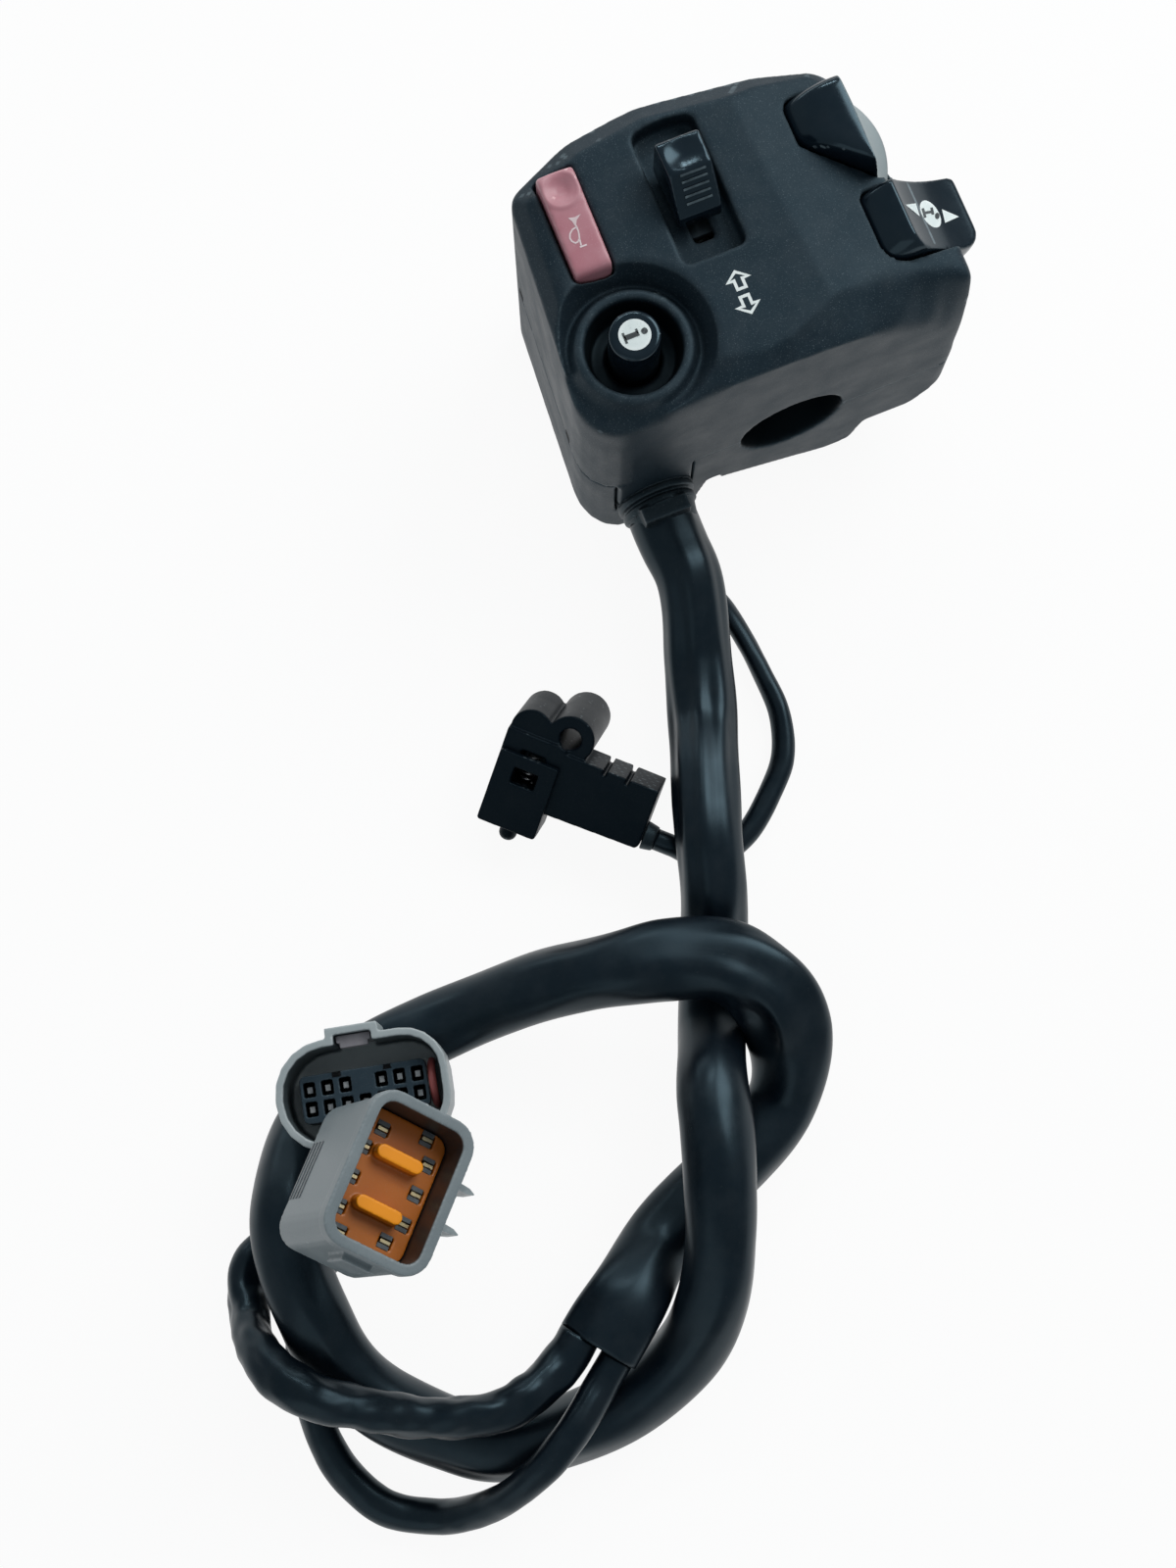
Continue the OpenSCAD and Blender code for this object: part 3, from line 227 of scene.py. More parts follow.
def make_fine_scratches():
    """Hairline scratches and finger smears that break up a gloss."""
    tree, put_in, out = new_group(
        "fine_scratches",
        [("Roughness", "f", 0.2), ("Smear", "f", 0.1), ("Scratch", "f", 0.1)],
        [("Roughness", "f"), ("Height", "f")])
    where = put(tree, "ShaderNodeTexCoord").outputs["Object"]
    i = put_in.outputs
    pulled = put(tree, "ShaderNodeMapping", Scale=(2600.0, 180.0, 900.0), Rotation=(0.0, 0.0, 0.6))
    wire(tree, where, pulled.inputs["Vector"])
    hair = stretch(tree, speckle(tree, pulled.outputs[0], 1.0, 2.0), 0.62, 0.75)
    smear = speckle(tree, where, 260.0, 4.0, 0.6)
    rough = sums(tree, "ADD", i["Roughness"], sums(tree, "MULTIPLY", smear, i["Smear"]))
    wire(tree, sums(tree, "ADD", rough, sums(tree, "MULTIPLY", hair, i["Scratch"])), out.inputs["Roughness"])
    wire(tree, sums(tree, "SUBTRACT", 1.0, hair), out.inputs["Height"])
    return tree


def make_sheath_draw():
    """Extruded tubing: faint draw lines along its run, cloudy bloom, and a dull fine skin."""
    tree, put_in, out = new_group(
        "sheath_draw",
        [("Colour", "c", (0.01, 0.01, 0.01, 1)), ("Bloom colour", "c", (0.05, 0.06, 0.07, 1)),
         ("Bloom", "f", 0.4), ("Roughness", "f", 0.45), ("Roughness spread", "f", 0.12)],
        [("Colour", "c"), ("Roughness", "f"), ("Height", "f")])
    i = put_in.outputs
    along = put(tree, "ShaderNodeUVMap", {"uv_map": "run"}).outputs[0]
    drawn = put(tree, "ShaderNodeMapping", Scale=(0.012, 60.0, 1.0))
    wire(tree, along, drawn.inputs["Vector"])
    lines = speckle(tree, drawn.outputs[0], 1.0, 3.0, 0.6)
    where = put(tree, "ShaderNodeTexCoord").outputs["Object"]
    cloud = stretch(tree, speckle(tree, where, 75.0, 4.0, 0.6), 0.38, 0.68)
    skin = speckle(tree, where, 3200.0, 2.0, 0.6)
    wire(tree, blended(tree, sums(tree, "MULTIPLY", cloud, i["Bloom"]), i["Colour"], i["Bloom colour"]),
         out.inputs["Colour"])
    change = sums(tree, "SUBTRACT", sums(tree, "ADD", cloud, lines), 0.9)
    wire(tree, sums(tree, "ADD", i["Roughness"], sums(tree, "MULTIPLY", change, i["Roughness spread"])),
         out.inputs["Roughness"])
    wire(tree, sums(tree, "ADD", sums(tree, "MULTIPLY", lines, 0.7), sums(tree, "MULTIPLY", skin, 0.3)),
         out.inputs["Height"])
    return tree


def make_painted_light_tone():
    """Painted light: a second colour where a piece's points ask for it, as painted shade in hollows, a
    painted reflection on a pad and a painted highlight on fins.
    """
    tree, put_in, out = new_group(
        "painted_light_tone",
        [("Colour", "c", (0.02, 0.02, 0.02, 1)), ("Second colour", "c", (0.005, 0.005, 0.005, 1))],
        [("Colour", "c"), ("Mask", "f")])
    mask = put(tree, "ShaderNodeAttribute", {"attribute_name": "painted_light"}).outputs["Fac"]
    i = put_in.outputs
    wire(tree, blended(tree, mask, i["Colour"], i["Second colour"]), out.inputs["Colour"])
    wire(tree, mask, out.inputs["Mask"])
    return tree


GRAIN = make_moulded_grain()
RUB_AND_HIGHLIGHT = make_edge_rub_and_highlight()
DUST = make_shelf_dust()
SCRATCHES = make_fine_scratches()
DRAW = make_sheath_draw()
# The tone group paints light: shade in hollows, a reflection on a pad and a highlight on fins.
PAINTED_LIGHT_TONE = make_painted_light_tone()

# How deep each finish's bumps go, in millimetres
SKIN_DEPTH = 0.03
POLISH_DEPTH = 0.004
METAL_DEPTH = 0.01


def place(tree, group, **values):
    """A shader group in a material, with its own values."""
    made = tree.nodes.new("ShaderNodeGroup")
    made.node_tree = group
    for key, value in values.items():
        made.inputs[key.replace("_", " ")].default_value = value
    return made


def new_finish(name, **constants):
    """A material with its shader's constants set."""
    material = bpy.data.materials.new(name)
    material.use_nodes = True
    tree = material.node_tree
    shader = tree.nodes["Principled BSDF"]
    for key, value in constants.items():
        shader.inputs[key.replace("_", " ")].default_value = value
    return material, tree, shader


def layered(tree, shader, *layers):
    """Passes the colour through the layers in order, and on to the shader."""
    for below, above in zip(layers, layers[1:]):
        wire(tree, below.outputs["Colour"], above.inputs["Colour"])
    wire(tree, layers[-1].outputs["Colour"], shader.inputs["Base Color"])


def bumped(tree, shader, height, depth, strength):
    """Lets a height, depth millimetres deep, raise the shader's surface."""
    bump = put(tree, "ShaderNodeBump", Distance=depth * MM, Strength=strength)
    wire(tree, height, bump.inputs["Height"])
    wire(tree, bump.outputs["Normal"], shader.inputs["Normal"])


def moulding(name, colour, cloud_colour, cloud=0.6, fleck_colour=(0.3, 0.3, 0.3, 1), fleck=0.1,
             grain=2500.0, rough=0.5, spread=0.12, rub_and_highlight_colour=(0.25, 0.25, 0.25, 1), rub_and_highlight=0.5,
             rub_and_highlight_from=0.51, dust=0.1, dust_colour=(0.34, 0.36, 0.37, 1), strength=0.35,
             painted_light=(0.004, 0.005, 0.006, 1), **constants):
    """A moulded plastic: grain, a second tone of painted light, rubbed edges that are partly painted edge
    highlights, and dust over one shader.
    """
    material, tree, shader = new_finish(name, **constants)
    g = place(tree, GRAIN, Colour=colour, Cloud_colour=cloud_colour, Cloud=cloud, Fleck_colour=fleck_colour,
              Fleck=fleck, Grain_scale=grain, Roughness=rough, Roughness_spread=spread)
    r = place(tree, RUB_AND_HIGHLIGHT, Rub_colour=rub_and_highlight_colour, Rub=rub_and_highlight, From=rub_and_highlight_from)
    d = place(tree, DUST, Dust_colour=dust_colour, Dust=dust)
    t = place(tree, PAINTED_LIGHT_TONE, Second_colour=painted_light)
    layered(tree, shader, g, r, d, t)
    dulled = sums(tree, "ADD", g.outputs["Roughness"], sums(tree, "MULTIPLY", d.outputs["Mask"], 0.5))
    wire(tree, sums(tree, "SUBTRACT", dulled, sums(tree, "MULTIPLY", r.outputs["Mask"], 0.12)),
         shader.inputs["Roughness"])
    bumped(tree, shader, g.outputs["Height"], SKIN_DEPTH, strength)
    return material


def glossing(name, colour, cloud_colour, rough, rub_and_highlight_colour, rub_and_highlight, dust, painted_light, **constants):
    """A polished plastic: scratches, finger smears, a second tone of painted light, rubbed edges that are
    partly painted edge highlights, and a little dust.
    """
    material, tree, shader = new_finish(name, **constants)
    g = place(tree, GRAIN, Colour=colour, Cloud_colour=cloud_colour, Cloud=0.7, Fleck=0.0, Grain_scale=900.0)
    r = place(tree, RUB_AND_HIGHLIGHT, Rub_colour=rub_and_highlight_colour, Rub=rub_and_highlight, From=0.55)
    d = place(tree, DUST, Dust=dust)
    s = place(tree, SCRATCHES, Roughness=rough, Smear=0.10, Scratch=0.03)
    t = place(tree, PAINTED_LIGHT_TONE, Second_colour=painted_light)
    layered(tree, shader, g, r, d, t)
    dulled = sums(tree, "ADD", s.outputs["Roughness"], sums(tree, "MULTIPLY", d.outputs["Mask"], 0.6))
    wire(tree, sums(tree, "ADD", dulled, sums(tree, "MULTIPLY", t.outputs["Mask"], 0.25)),
         shader.inputs["Roughness"])
    bumped(tree, shader, s.outputs["Height"], POLISH_DEPTH, 0.1)
    return material


def sheathing(name, colour, bloom_colour, rough, spread, dust, **constants):
    """Extruded sheath, with dust on its upper side."""
    material, tree, shader = new_finish(name, **constants)
    g = place(tree, DRAW, Colour=colour, Bloom_colour=bloom_colour, Bloom=0.5, Roughness=rough,
              Roughness_spread=spread)
    d = place(tree, DUST, Dust=dust)
    layered(tree, shader, g, d)
    wire(tree, sums(tree, "ADD", g.outputs["Roughness"], sums(tree, "MULTIPLY", d.outputs["Mask"], 0.4)),
         shader.inputs["Roughness"])
    bumped(tree, shader, g.outputs["Height"], SKIN_DEPTH, 0.3)
    return material


def metal(name, colour, cloud_colour, rough=0.25, rub_and_highlight_colour=(0.8, 0.8, 0.8, 1)):
    """Bare or plated metal with scratches, tarnish clouds and bright edges."""
    material, tree, shader = new_finish(name, Metallic=1.0)
    g = place(tree, GRAIN, Colour=colour, Cloud_colour=cloud_colour, Cloud=0.8, Fleck=0.0, Grain_scale=1800.0)
    r = place(tree, RUB_AND_HIGHLIGHT, Rub_colour=rub_and_highlight_colour, Rub=0.5)
    s = place(tree, SCRATCHES, Roughness=rough, Smear=0.2, Scratch=0.15)
    layered(tree, shader, g, r)
    wire(tree, s.outputs["Roughness"], shader.inputs["Roughness"])
    bumped(tree, shader, s.outputs["Height"], METAL_DEPTH, 0.2)
    return material


COOL = (0.55, 0.84, 1.0, 1.0)
FINISH = {
    # The last, near-black colour is painted shade in the bore and the info button's well; the pale edge rub
    # also paints highlights on the case's creases.
    "case_plastic": moulding(
        "case_plastic", shade(25, 36, 44), shade(32, 44, 52), fleck_colour=shade(116, 130, 136), fleck=0.30,
        grain=2600.0, rough=0.5, spread=0.16, rub_and_highlight_colour=shade(108, 124, 130), rub_and_highlight=0.5, dust=0.05,
        strength=0.45, painted_light=shade(7, 12, 16), Specular_Tint=COOL, Specular_IOR_Level=0.22),
    # Its pale last colour is a painted reflection on the beam paddle's finger face, and its pale edge rub
    # doubles as painted edge highlights.
    "button_plastic": glossing(
        "button_plastic", shade(10, 18, 26), shade(15, 24, 32), rough=0.13, rub_and_highlight_colour=shade(130, 146, 152),
        rub_and_highlight=0.5, dust=0.02, painted_light=shade(126, 138, 140), Specular_Tint=COOL),
    "horn_plastic": moulding(
        "horn_plastic", shade(176, 116, 126), shade(186, 134, 143), cloud=0.7,
        fleck_colour=shade(208, 166, 172), fleck=0.2, grain=1900.0, rough=0.36,
        rub_and_highlight_colour=shade(232, 190, 194), rub_and_highlight=0.8, dust=0.12,
        dust_colour=shade(206, 180, 184), strength=0.2),
    "board_green": moulding(
        "board_green", shade(22, 70, 44), shade(34, 92, 56), rough=0.35, rub_and_highlight=0.2, dust=0.03, grain=1500.0),
    "steel": metal("steel", shade(176, 178, 180), shade(140, 142, 146)),
    "nylon": moulding(
        "nylon", shade(206, 204, 196), shade(188, 186, 178), rough=0.42, rub_and_highlight_colour=shade(240, 240, 236),
        rub_and_highlight=0.3, dust=0.04),
    "switch_black": moulding(
        "switch_black", shade(14, 18, 22), shade(22, 27, 31), rough=0.45, rub_and_highlight_colour=shade(90, 98, 102),
        dust=0.02, Specular_Tint=COOL),
    "sheath": sheathing(
        "sheath", shade(4, 10, 18), shade(11, 20, 29), rough=0.34, spread=0.12, dust=0.03, Specular_Tint=COOL,
        Specular_IOR_Level=0.42),
    "gland_rubber": moulding(
        "gland_rubber", shade(12, 18, 23), shade(20, 27, 32), grain=1700.0, rough=0.5,
        rub_and_highlight_colour=shade(96, 106, 110), rub_and_highlight=0.5, dust=0.05, Specular_Tint=COOL),
    # Its pale, strong edge rub also paints the switch's fine pale edge lines as painted highlights.
    "clutch_plastic": moulding(
        "clutch_plastic", shade(3, 9, 16), shade(6, 13, 21), cloud=0.4, fleck=0.03, grain=2900.0, rough=0.42,
        rub_and_highlight_colour=shade(104, 116, 120), rub_and_highlight=0.6, rub_and_highlight_from=0.57, dust=0.01, strength=0.15, Specular_Tint=COOL,
        Specular_IOR_Level=0.14),
    # Its last colour is painted shade on the socket hood's inner walls.
    "hood_grey": moulding(
        "hood_grey", shade(158, 168, 170), shade(172, 181, 182), fleck_colour=shade(116, 124, 126), fleck=0.2,
        rough=0.42, rub_and_highlight_colour=shade(214, 221, 222), rub_and_highlight=0.6, dust=0.08, strength=0.2,
        painted_light=shade(74, 84, 88)),
    # Its near-black last colour is painted shade deep in the socket insert.
    "socket_black": moulding(
        "socket_black", shade(34, 45, 54), shade(44, 56, 65), rough=0.5, rub_and_highlight_colour=shade(120, 132, 137),
        rub_and_highlight=0.5, dust=0.03, strength=0.25, painted_light=shade(3, 5, 7), Specular_Tint=COOL),
    "tin": metal("tin", shade(120, 128, 130), shade(92, 99, 102), rough=0.4),
    "wire_red": moulding(
        "wire_red", shade(196, 88, 86), shade(208, 116, 112), rough=0.34, rub_and_highlight_colour=shade(236, 176, 172),
        rub_and_highlight=0.3, dust=0.03),
    # Its last colour is painted shade on the plug shell's inner walls.
    "plug_grey": moulding(
        "plug_grey", shade(112, 123, 127), shade(128, 138, 141), fleck_colour=shade(70, 78, 82), fleck=0.3,
        rough=0.42, rub_and_highlight_colour=shade(170, 180, 182), rub_and_highlight=0.6, dust=0.08, strength=0.2,
        painted_light=shade(46, 40, 39)),
    # Its bright last colour is a painted highlight on the insert's fins.
    "plug_orange": moulding(
        "plug_orange", shade(178, 98, 22), shade(190, 108, 28), rough=0.4, rub_and_highlight_colour=shade(224, 140, 66),
        rub_and_highlight=0.4, dust=0.02, dust_colour=shade(200, 150, 90), strength=0.2, painted_light=shade(255, 158, 8)),
    "brass": metal(
        "brass", shade(226, 204, 150), shade(190, 164, 108), rough=0.22, rub_and_highlight_colour=shade(250, 240, 206)),
}

LATCH_GREY = moulding(
    "latch_grey", shade(136, 132, 138), shade(152, 146, 151), rough=0.36, rub_and_highlight_colour=shade(204, 202, 205),
    dust=0.04)
WIRE_WHITE = moulding(
    "wire_white", shade(206, 208, 206), shade(190, 192, 190), rough=0.4, rub_and_highlight_colour=shade(232, 232, 228),
    dust=0.03)
SIGN_WHITE = moulding(
    "sign_white", shade(226, 236, 234), shade(206, 218, 217), cloud=0.7, fleck_colour=shade(150, 158, 158),
    fleck=0.3, grain=1800.0, rough=0.5, rub_and_highlight_colour=shade(244, 248, 247), dust=0.0, strength=0.2)
SIGN_PALE = moulding(
    "sign_pale", shade(214, 196, 198), shade(196, 170, 174), rough=0.5, rub_and_highlight_colour=shade(236, 224, 225),
    dust=0.0)
SIGN_DARK = moulding(
    "sign_dark", shade(34, 42, 45), shade(48, 57, 60), rough=0.5, rub_and_highlight_colour=shade(90, 98, 100), dust=0.0)
# Painted shade: a flat near-black for slots seen as dark holes.
PAINTED_SLOT_SHADE = moulding(
    "painted_slot_shade", shade(6, 8, 10), shade(10, 12, 15), rough=0.7, rub_and_highlight=0.0, dust=0.0, Specular_IOR_Level=0.1)
# Painted shade: a dark grey for the holes round the plug's blades and for its grip lines.
PAINTED_HOLE_SHADE = moulding(
    "terminal_hole_shade", shade(44, 50, 55), shade(56, 62, 67), rough=0.45, rub_and_highlight_colour=shade(120, 128, 132),
    rub_and_highlight=0.5, dust=0.02)

# Making pieces

FLAT_WITHIN = math.radians(0.5)
EDGE_FROM = math.radians(30)
SHARP_FROM = math.radians(38)


def piece_from(name, mesh, body, finish, slot=None):
    """A mesh as a visible piece that rides on a body."""
    obj = bpy.data.objects.new(name, mesh)
    scene.collection.objects.link(obj)
    mesh.materials.clear()
    mesh.materials.append(finish)
    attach(obj, body)
    return obj


def smoothed(mesh):
    """Shades every face of a mesh smooth."""
    mesh.polygons.foreach_set("use_smooth", [True] * len(mesh.polygons))


def faced_out(mesh, weld=0.0):
    """Turns a mesh's faces outward, after points nearer than weld, in metres, are made one."""
    edit = bmesh.new()
    edit.from_mesh(mesh)
    if weld:
        bmesh.ops.remove_doubles(edit, verts=edit.verts, dist=weld)
    bmesh.ops.recalc_face_normals(edit, faces=edit.faces)
    edit.to_mesh(mesh)
    edit.free()


def mesh_from(name, points, faces, smooth=True):
    """A mesh from its points, in metres, and its faces."""
    mesh = bpy.data.meshes.new(name)
    mesh.from_pydata([tuple(p) for p in points], [], faces)
    mesh.validate()
    mesh.update()
    if smooth:
        smoothed(mesh)
    return mesh


def clean_copy(node):
    """A copy of a CAD solid's mesh, with its seams welded."""
    mesh = NODES[node].data.copy()
    faced_out(mesh, 2e-6)
    for layer in list(mesh.attributes):
        if layer.name == "custom_normal":
            mesh.attributes.remove(layer)
    return mesh


def baked(obj):
    """The object's mesh with its modifiers applied."""
    depsgraph = bpy.context.evaluated_depsgraph_get()
    mesh = bpy.data.meshes.new_from_object(obj.evaluated_get(depsgraph))
    bpy.data.objects.remove(obj)
    return mesh


def spots_of(mesh):
    """A mesh's points, in metres."""
    spots = np.zeros(len(mesh.vertices) * 3)
    mesh.vertices.foreach_get("co", spots)
    return spots.reshape(-1, 3)


def relaxed(mesh, rounds, factor=0.5):
    """Evens out a mesh as a mould's rounded edges do; factor may be one number for each point."""
    spots = spots_of(mesh)
    count = len(spots)
    factor = np.broadcast_to(np.asarray(factor, float), count)[:, None]
    ends = np.zeros(len(mesh.edges) * 2, int)
    mesh.edges.foreach_get("vertices", ends)
    a, b = ends.reshape(-1, 2).T
    degree = np.bincount(np.r_[a, b], minlength=count).astype(float)
    for _ in range(rounds):
        total = np.stack([np.bincount(np.r_[a, b], np.r_[spots[b, k], spots[a, k]], count)
                          for k in range(3)], 1)
        spots = spots + factor * (total / degree[:, None] - spots)
    mesh.vertices.foreach_set("co", spots.ravel())
    mesh.update()
    return mesh


def moulded_copy(node, name, voxel, rounds, body, shape=None, calm=None):
    """A CAD solid as it leaves the mould: every edge rounded over. calm gives how much, point by point, and
    shape changes the mesh afterwards."""
    rough = bpy.data.objects.new(name + "_rough", clean_copy(node))
    scene.collection.objects.link(rough)
    fine = rough.modifiers.new("fine", "REMESH")
    fine.mode = "VOXEL"
    fine.voxel_size = voxel * MM
    mesh = baked(rough)
    mesh = relaxed(mesh, rounds, calm(spots_of(mesh) / MM) if calm else 0.5)
    if shape:
        shape(mesh)
    smoothed(mesh)
    slot = SLOT_OF[node]
    piece = piece_from(name, mesh, body, FINISH[slot], slot)
    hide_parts(node)
    return piece


def edged_copy(node, name, width, body, slot=None, finish=None, segments=2):
    """A CAD solid with small rounded edges."""
    mesh = clean_copy(node)
    edit = bmesh.new()
    edit.from_mesh(mesh)
    bmesh.ops.dissolve_limit(edit, angle_limit=FLAT_WITHIN, verts=edit.verts, edges=edit.edges)
    edit.to_mesh(mesh)
    edit.free()
    rough = bpy.data.objects.new(name + "_rough", mesh)
    scene.collection.objects.link(rough)
    bevel = rough.modifiers.new("edge", "BEVEL")
    bevel.width = width * MM
    bevel.segments = segments
    bevel.limit_method = "ANGLE"
    bevel.angle_limit = EDGE_FROM
    mesh = baked(rough)
    smoothed(mesh)
    mesh.set_sharp_from_angle(angle=SHARP_FROM)
    slot = slot or SLOT_OF[node]
    piece = piece_from(name, mesh, body, finish or FINISH[slot], slot)
    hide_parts(node)
    return piece


NODES_OF = {
    "case_plastic": ["front_shell", "rear_shell"],
    "button_plastic": ["turn_knob", "info_button", "beam_rocker", "scroll_rocker"],
    "horn_plastic": ["horn_button"],
    "board_green": ["circuit_board"],
    "steel": [
        "case_screws", "board_screws", "horn_pivot_pin", "horn_spring", "turn_centring_springs",
        "turn_cancel_spring", "info_spring", "rocker_pin", "beam_spring", "scroll_spring",
        "clutch_plunger_spring"],
    "nylon": ["wire_header", "turn_carriage"],
    "switch_black": ["button_switches", "rocker_switches", "turn_tray"],
    "sheath": ["main_loom", "socket_branch", "plug_branch", "clutch_lead"],
    "gland_rubber": ["cable_gland", "clutch_lead_boot"],
    "clutch_plastic": ["clutch_switch_body", "clutch_switch_cover", "clutch_plunger"],
    "hood_grey": ["socket_hood", "socket_latch"],
    "socket_black": ["socket_insert"],
    "tin": ["socket_contacts"],
    "wire_red": ["inner_wires", "socket_wires"],
    "plug_grey": ["plug_shell"],
    "plug_orange": ["plug_insert"],
    "brass": ["plug_blades"],
}
SLOT_OF = {node: slot for slot, nodes in NODES_OF.items() for node in nodes}

for node_name, node_object in NODES.items():
    node_object.data.materials.clear()
    node_object.data.materials.append(FINISH[SLOT_OF[node_name]])

# Cords

LOOM_FLUTES = 9
WIRE_RADIUS = 0.8
LOOM_ROUTE = [
    (-30, -4.5, -14), (-30, -12, -14), (-30, -18, -14), (-31, -24, -16), (-34, -35, -20), (-38, -47, -20),
    (-43, -60, -15), (-47, -71, -13), (-50, -81, -16), (-54, -91, -21), (-61, -107, -18), (-66, -118, -8.5),
    (-69, -127, -5.5),
    (-72, -136, -5), (-76, -146, -6), (-82, -157, -10), (-93, -166, -18), (-107, -170, -21),
    (-131, -168, -21), (-141, -161, -21), (-150, -151, -19), (-155, -141, -15.5), (-156, -130, -12.5),
    (-156, -120, -12),
    (-154, -110, -12), (-149, -101, -16.5), (-142, -94, -21), (-131, -88, -21), (-109, -86, -20),
    (-91, -87, -12.5), (-74, -90, -6), (-62, -93, -5), (-53, -98, -5), (-47, -107, -8), (-47, -117, -15),
    (-53, -126, -21), (-65, -133, -21), (-78, -138.5, -21), (-88, -143.5, -20), (-98, -151, -12),
    (-106, -157, -12)]
SOCKET_ROUTE = [
    (-108.7, -153.4, -12), (-112.7, -156.4, -12), (-126, -161, -8.5), (-142, -156.5, -7), (-152, -150.5, -6),
    (-161, -144, -4.5), (-167, -136, -8.5), (-169, -126, -19), (-165, -116, -23.8), (-156, -112.5, -23.8),
    (-144, -111, -23.8), (-135, -107, -23), (-129.5, -103, -20), (-127, -101, -15.5), (-127, -101, -11)]
PLUG_ROUTE = [
    (-103.6, -160.2, -12), (-107.6, -163.2, -12), (-117, -170, -9.5), (-127, -175, -10.5),
    (-138, -177.5, -18), (-149, -176, -24.6), (-158, -170, -24.6), (-163, -160, -24.6), (-164, -148, -24.6),
    (-162, -136, -24.6), (-157, -124, -24.6), (-150, -120.5, -24), (-144, -118, -18), (-142, -113.5, -6),
    (-140.462, -111.061, 7.036), (-138.7, -111.5, 10.6)]
CLUTCH_ROUTE = [
    (-29, -21, -18), (-25, -24, -23.5), (-23, -31, -25.7), (-22, -42, -25.7), (-22, -51, -25.7),
    (-25, -60, -25.7), (-31, -66.5, -25.7), (-38, -72, -25.7), (-44, -74, -25.5), (-50, -73, -23.5),
    (-54.054, -69.669, -19.77),
    (-56.931, -66.89, -19.77)]


def smooth_route(points, step):
    """A smooth line through the points, in even steps, in millimetres."""
    spots = np.array(points, float)
    spots = np.vstack([2 * spots[0] - spots[1], spots, 2 * spots[-1] - spots[-2]])
    line = []
    for k in range(1, len(spots) - 2):
        a, b, c, d = spots[k - 1:k + 3]
        t0, t1 = 0.0, np.linalg.norm(b - a) ** 0.5
        t2 = t1 + np.linalg.norm(c - b) ** 0.5
        t3 = t2 + np.linalg.norm(d - c) ** 0.5
        for t in np.linspace(t1, t2, 24, endpoint=False):
            ab = ((t1 - t) * a + (t - t0) * b) / (t1 - t0)
            bc = ((t2 - t) * b + (t - t1) * c) / (t2 - t1)
            cd = ((t3 - t) * c + (t - t2) * d) / (t3 - t2)
            left = ((t2 - t) * ab + (t - t0) * bc) / (t2 - t0)
            right = ((t3 - t) * bc + (t - t1) * cd) / (t3 - t1)
            line.append(((t2 - t) * left + (t - t1) * right) / (t2 - t1))
    line.append(spots[-2])
    line = np.array(line)
    run = np.r_[0, np.cumsum(np.linalg.norm(np.diff(line, axis=0), axis=1))]
    even = np.linspace(0, run[-1], int(run[-1] / step) + 1)
    return np.stack([np.interp(even, run, line[:, k]) for k in range(3)], 1), even


def ring_frames(line, level):
    """At each point of a line, a side and an upward direction across it."""
    along = np.gradient(line, axis=0)
    along /= np.linalg.norm(along, axis=1)[:, None]
    sides = []
    side = np.cross(along[0], (0, 0, 1))
    if np.linalg.norm(side) < 0.2:
        side = np.array((1.0, 0, 0))
    for t in along:
        if level:
            side = np.cross(t, (0, 0, 1))
        side = side - t * side.dot(t)
        side = side / np.linalg.norm(side)
        sides.append(side)
    sides = np.array(sides)
    return sides, np.cross(sides, along)


def nearest_run(line, run, spot):
    """How far along a line its point nearest to a spot lies."""
    return run[np.argmin(np.linalg.norm(line - np.array(spot), axis=1))]


def soft_step(x, low, high):
    """0 up to low, 1 from high on, and an easy rise between."""
    t = min(1.0, max(0.0, (x - low) / (high - low)))
    return t * t * (3 - 2 * t)


def hump(x, middle, half):
    """1 in the middle, falling to 0 at half to each side."""
    t = abs(x - middle) / half
    return 0.0 if t >= 1 else (1 - t * t) ** 2


def turned(angle):
    """The same angle, between half a turn back and half a turn on."""
    return (angle + math.pi) % (2 * math.pi) - math.pi


def sheath_mesh(name, line, run, frames, sides, reach, cut=None):
    """A tube round a line. reach gives how far the skin stands off the line, sideways and upwards; cut is
    how far a thin open end goes back inside."""
    side, up = frames
    points, faces, maps = [], [], []
    for k, (spot, s) in enumerate(zip(line, run)):
        for j in range(sides):
            angle = 2 * math.pi * j / sides
            x, y = reach(s, angle)
            points.append(spot + side[k] * x + up[k] * y)
    rows = [(k * sides, run[k]) for k in range(len(run))]
    if cut:
        wall, depth = cut
        for back, thin in ((0.0, wall), (depth, wall)):
            k = int(np.argmin(abs(run - (run[-1] - back))))
            start = len(points)
            for j in range(sides):
                skin = points[k * sides + j] - line[k]
                size = np.linalg.norm(skin)
                points.append(line[k] + skin * max(0.2, (size - thin) / size))
            rows.append((start, run[-1] + 1.0 + back))
    for (a, sa), (b, sb) in zip(rows, rows[1:]):
        for j in range(sides):
            n = (j + 1) % sides
            faces.append((a + j, a + n, b + n, b + j))
            maps.append(((sa, j / sides), (sa, (j + 1) / sides), (sb, (j + 1) / sides), (sb, j / sides)))
    for start, s, order in ((rows[0][0], rows[0][1], -1), (rows[-1][0], rows[-1][1], 1)):
        ring = [start + j for j in range(sides)][::order]
        faces.append(tuple(ring))
        maps.append([(s, j / sides) for j in range(sides)])
    mesh = mesh_from(name, np.array(points) * MM, faces)
    layer = mesh.uv_layers.new(name="run")
    layer.uv.foreach_set("vector", np.array([p for face in maps for p in face], float).ravel())
    faced_out(mesh)
    return mesh


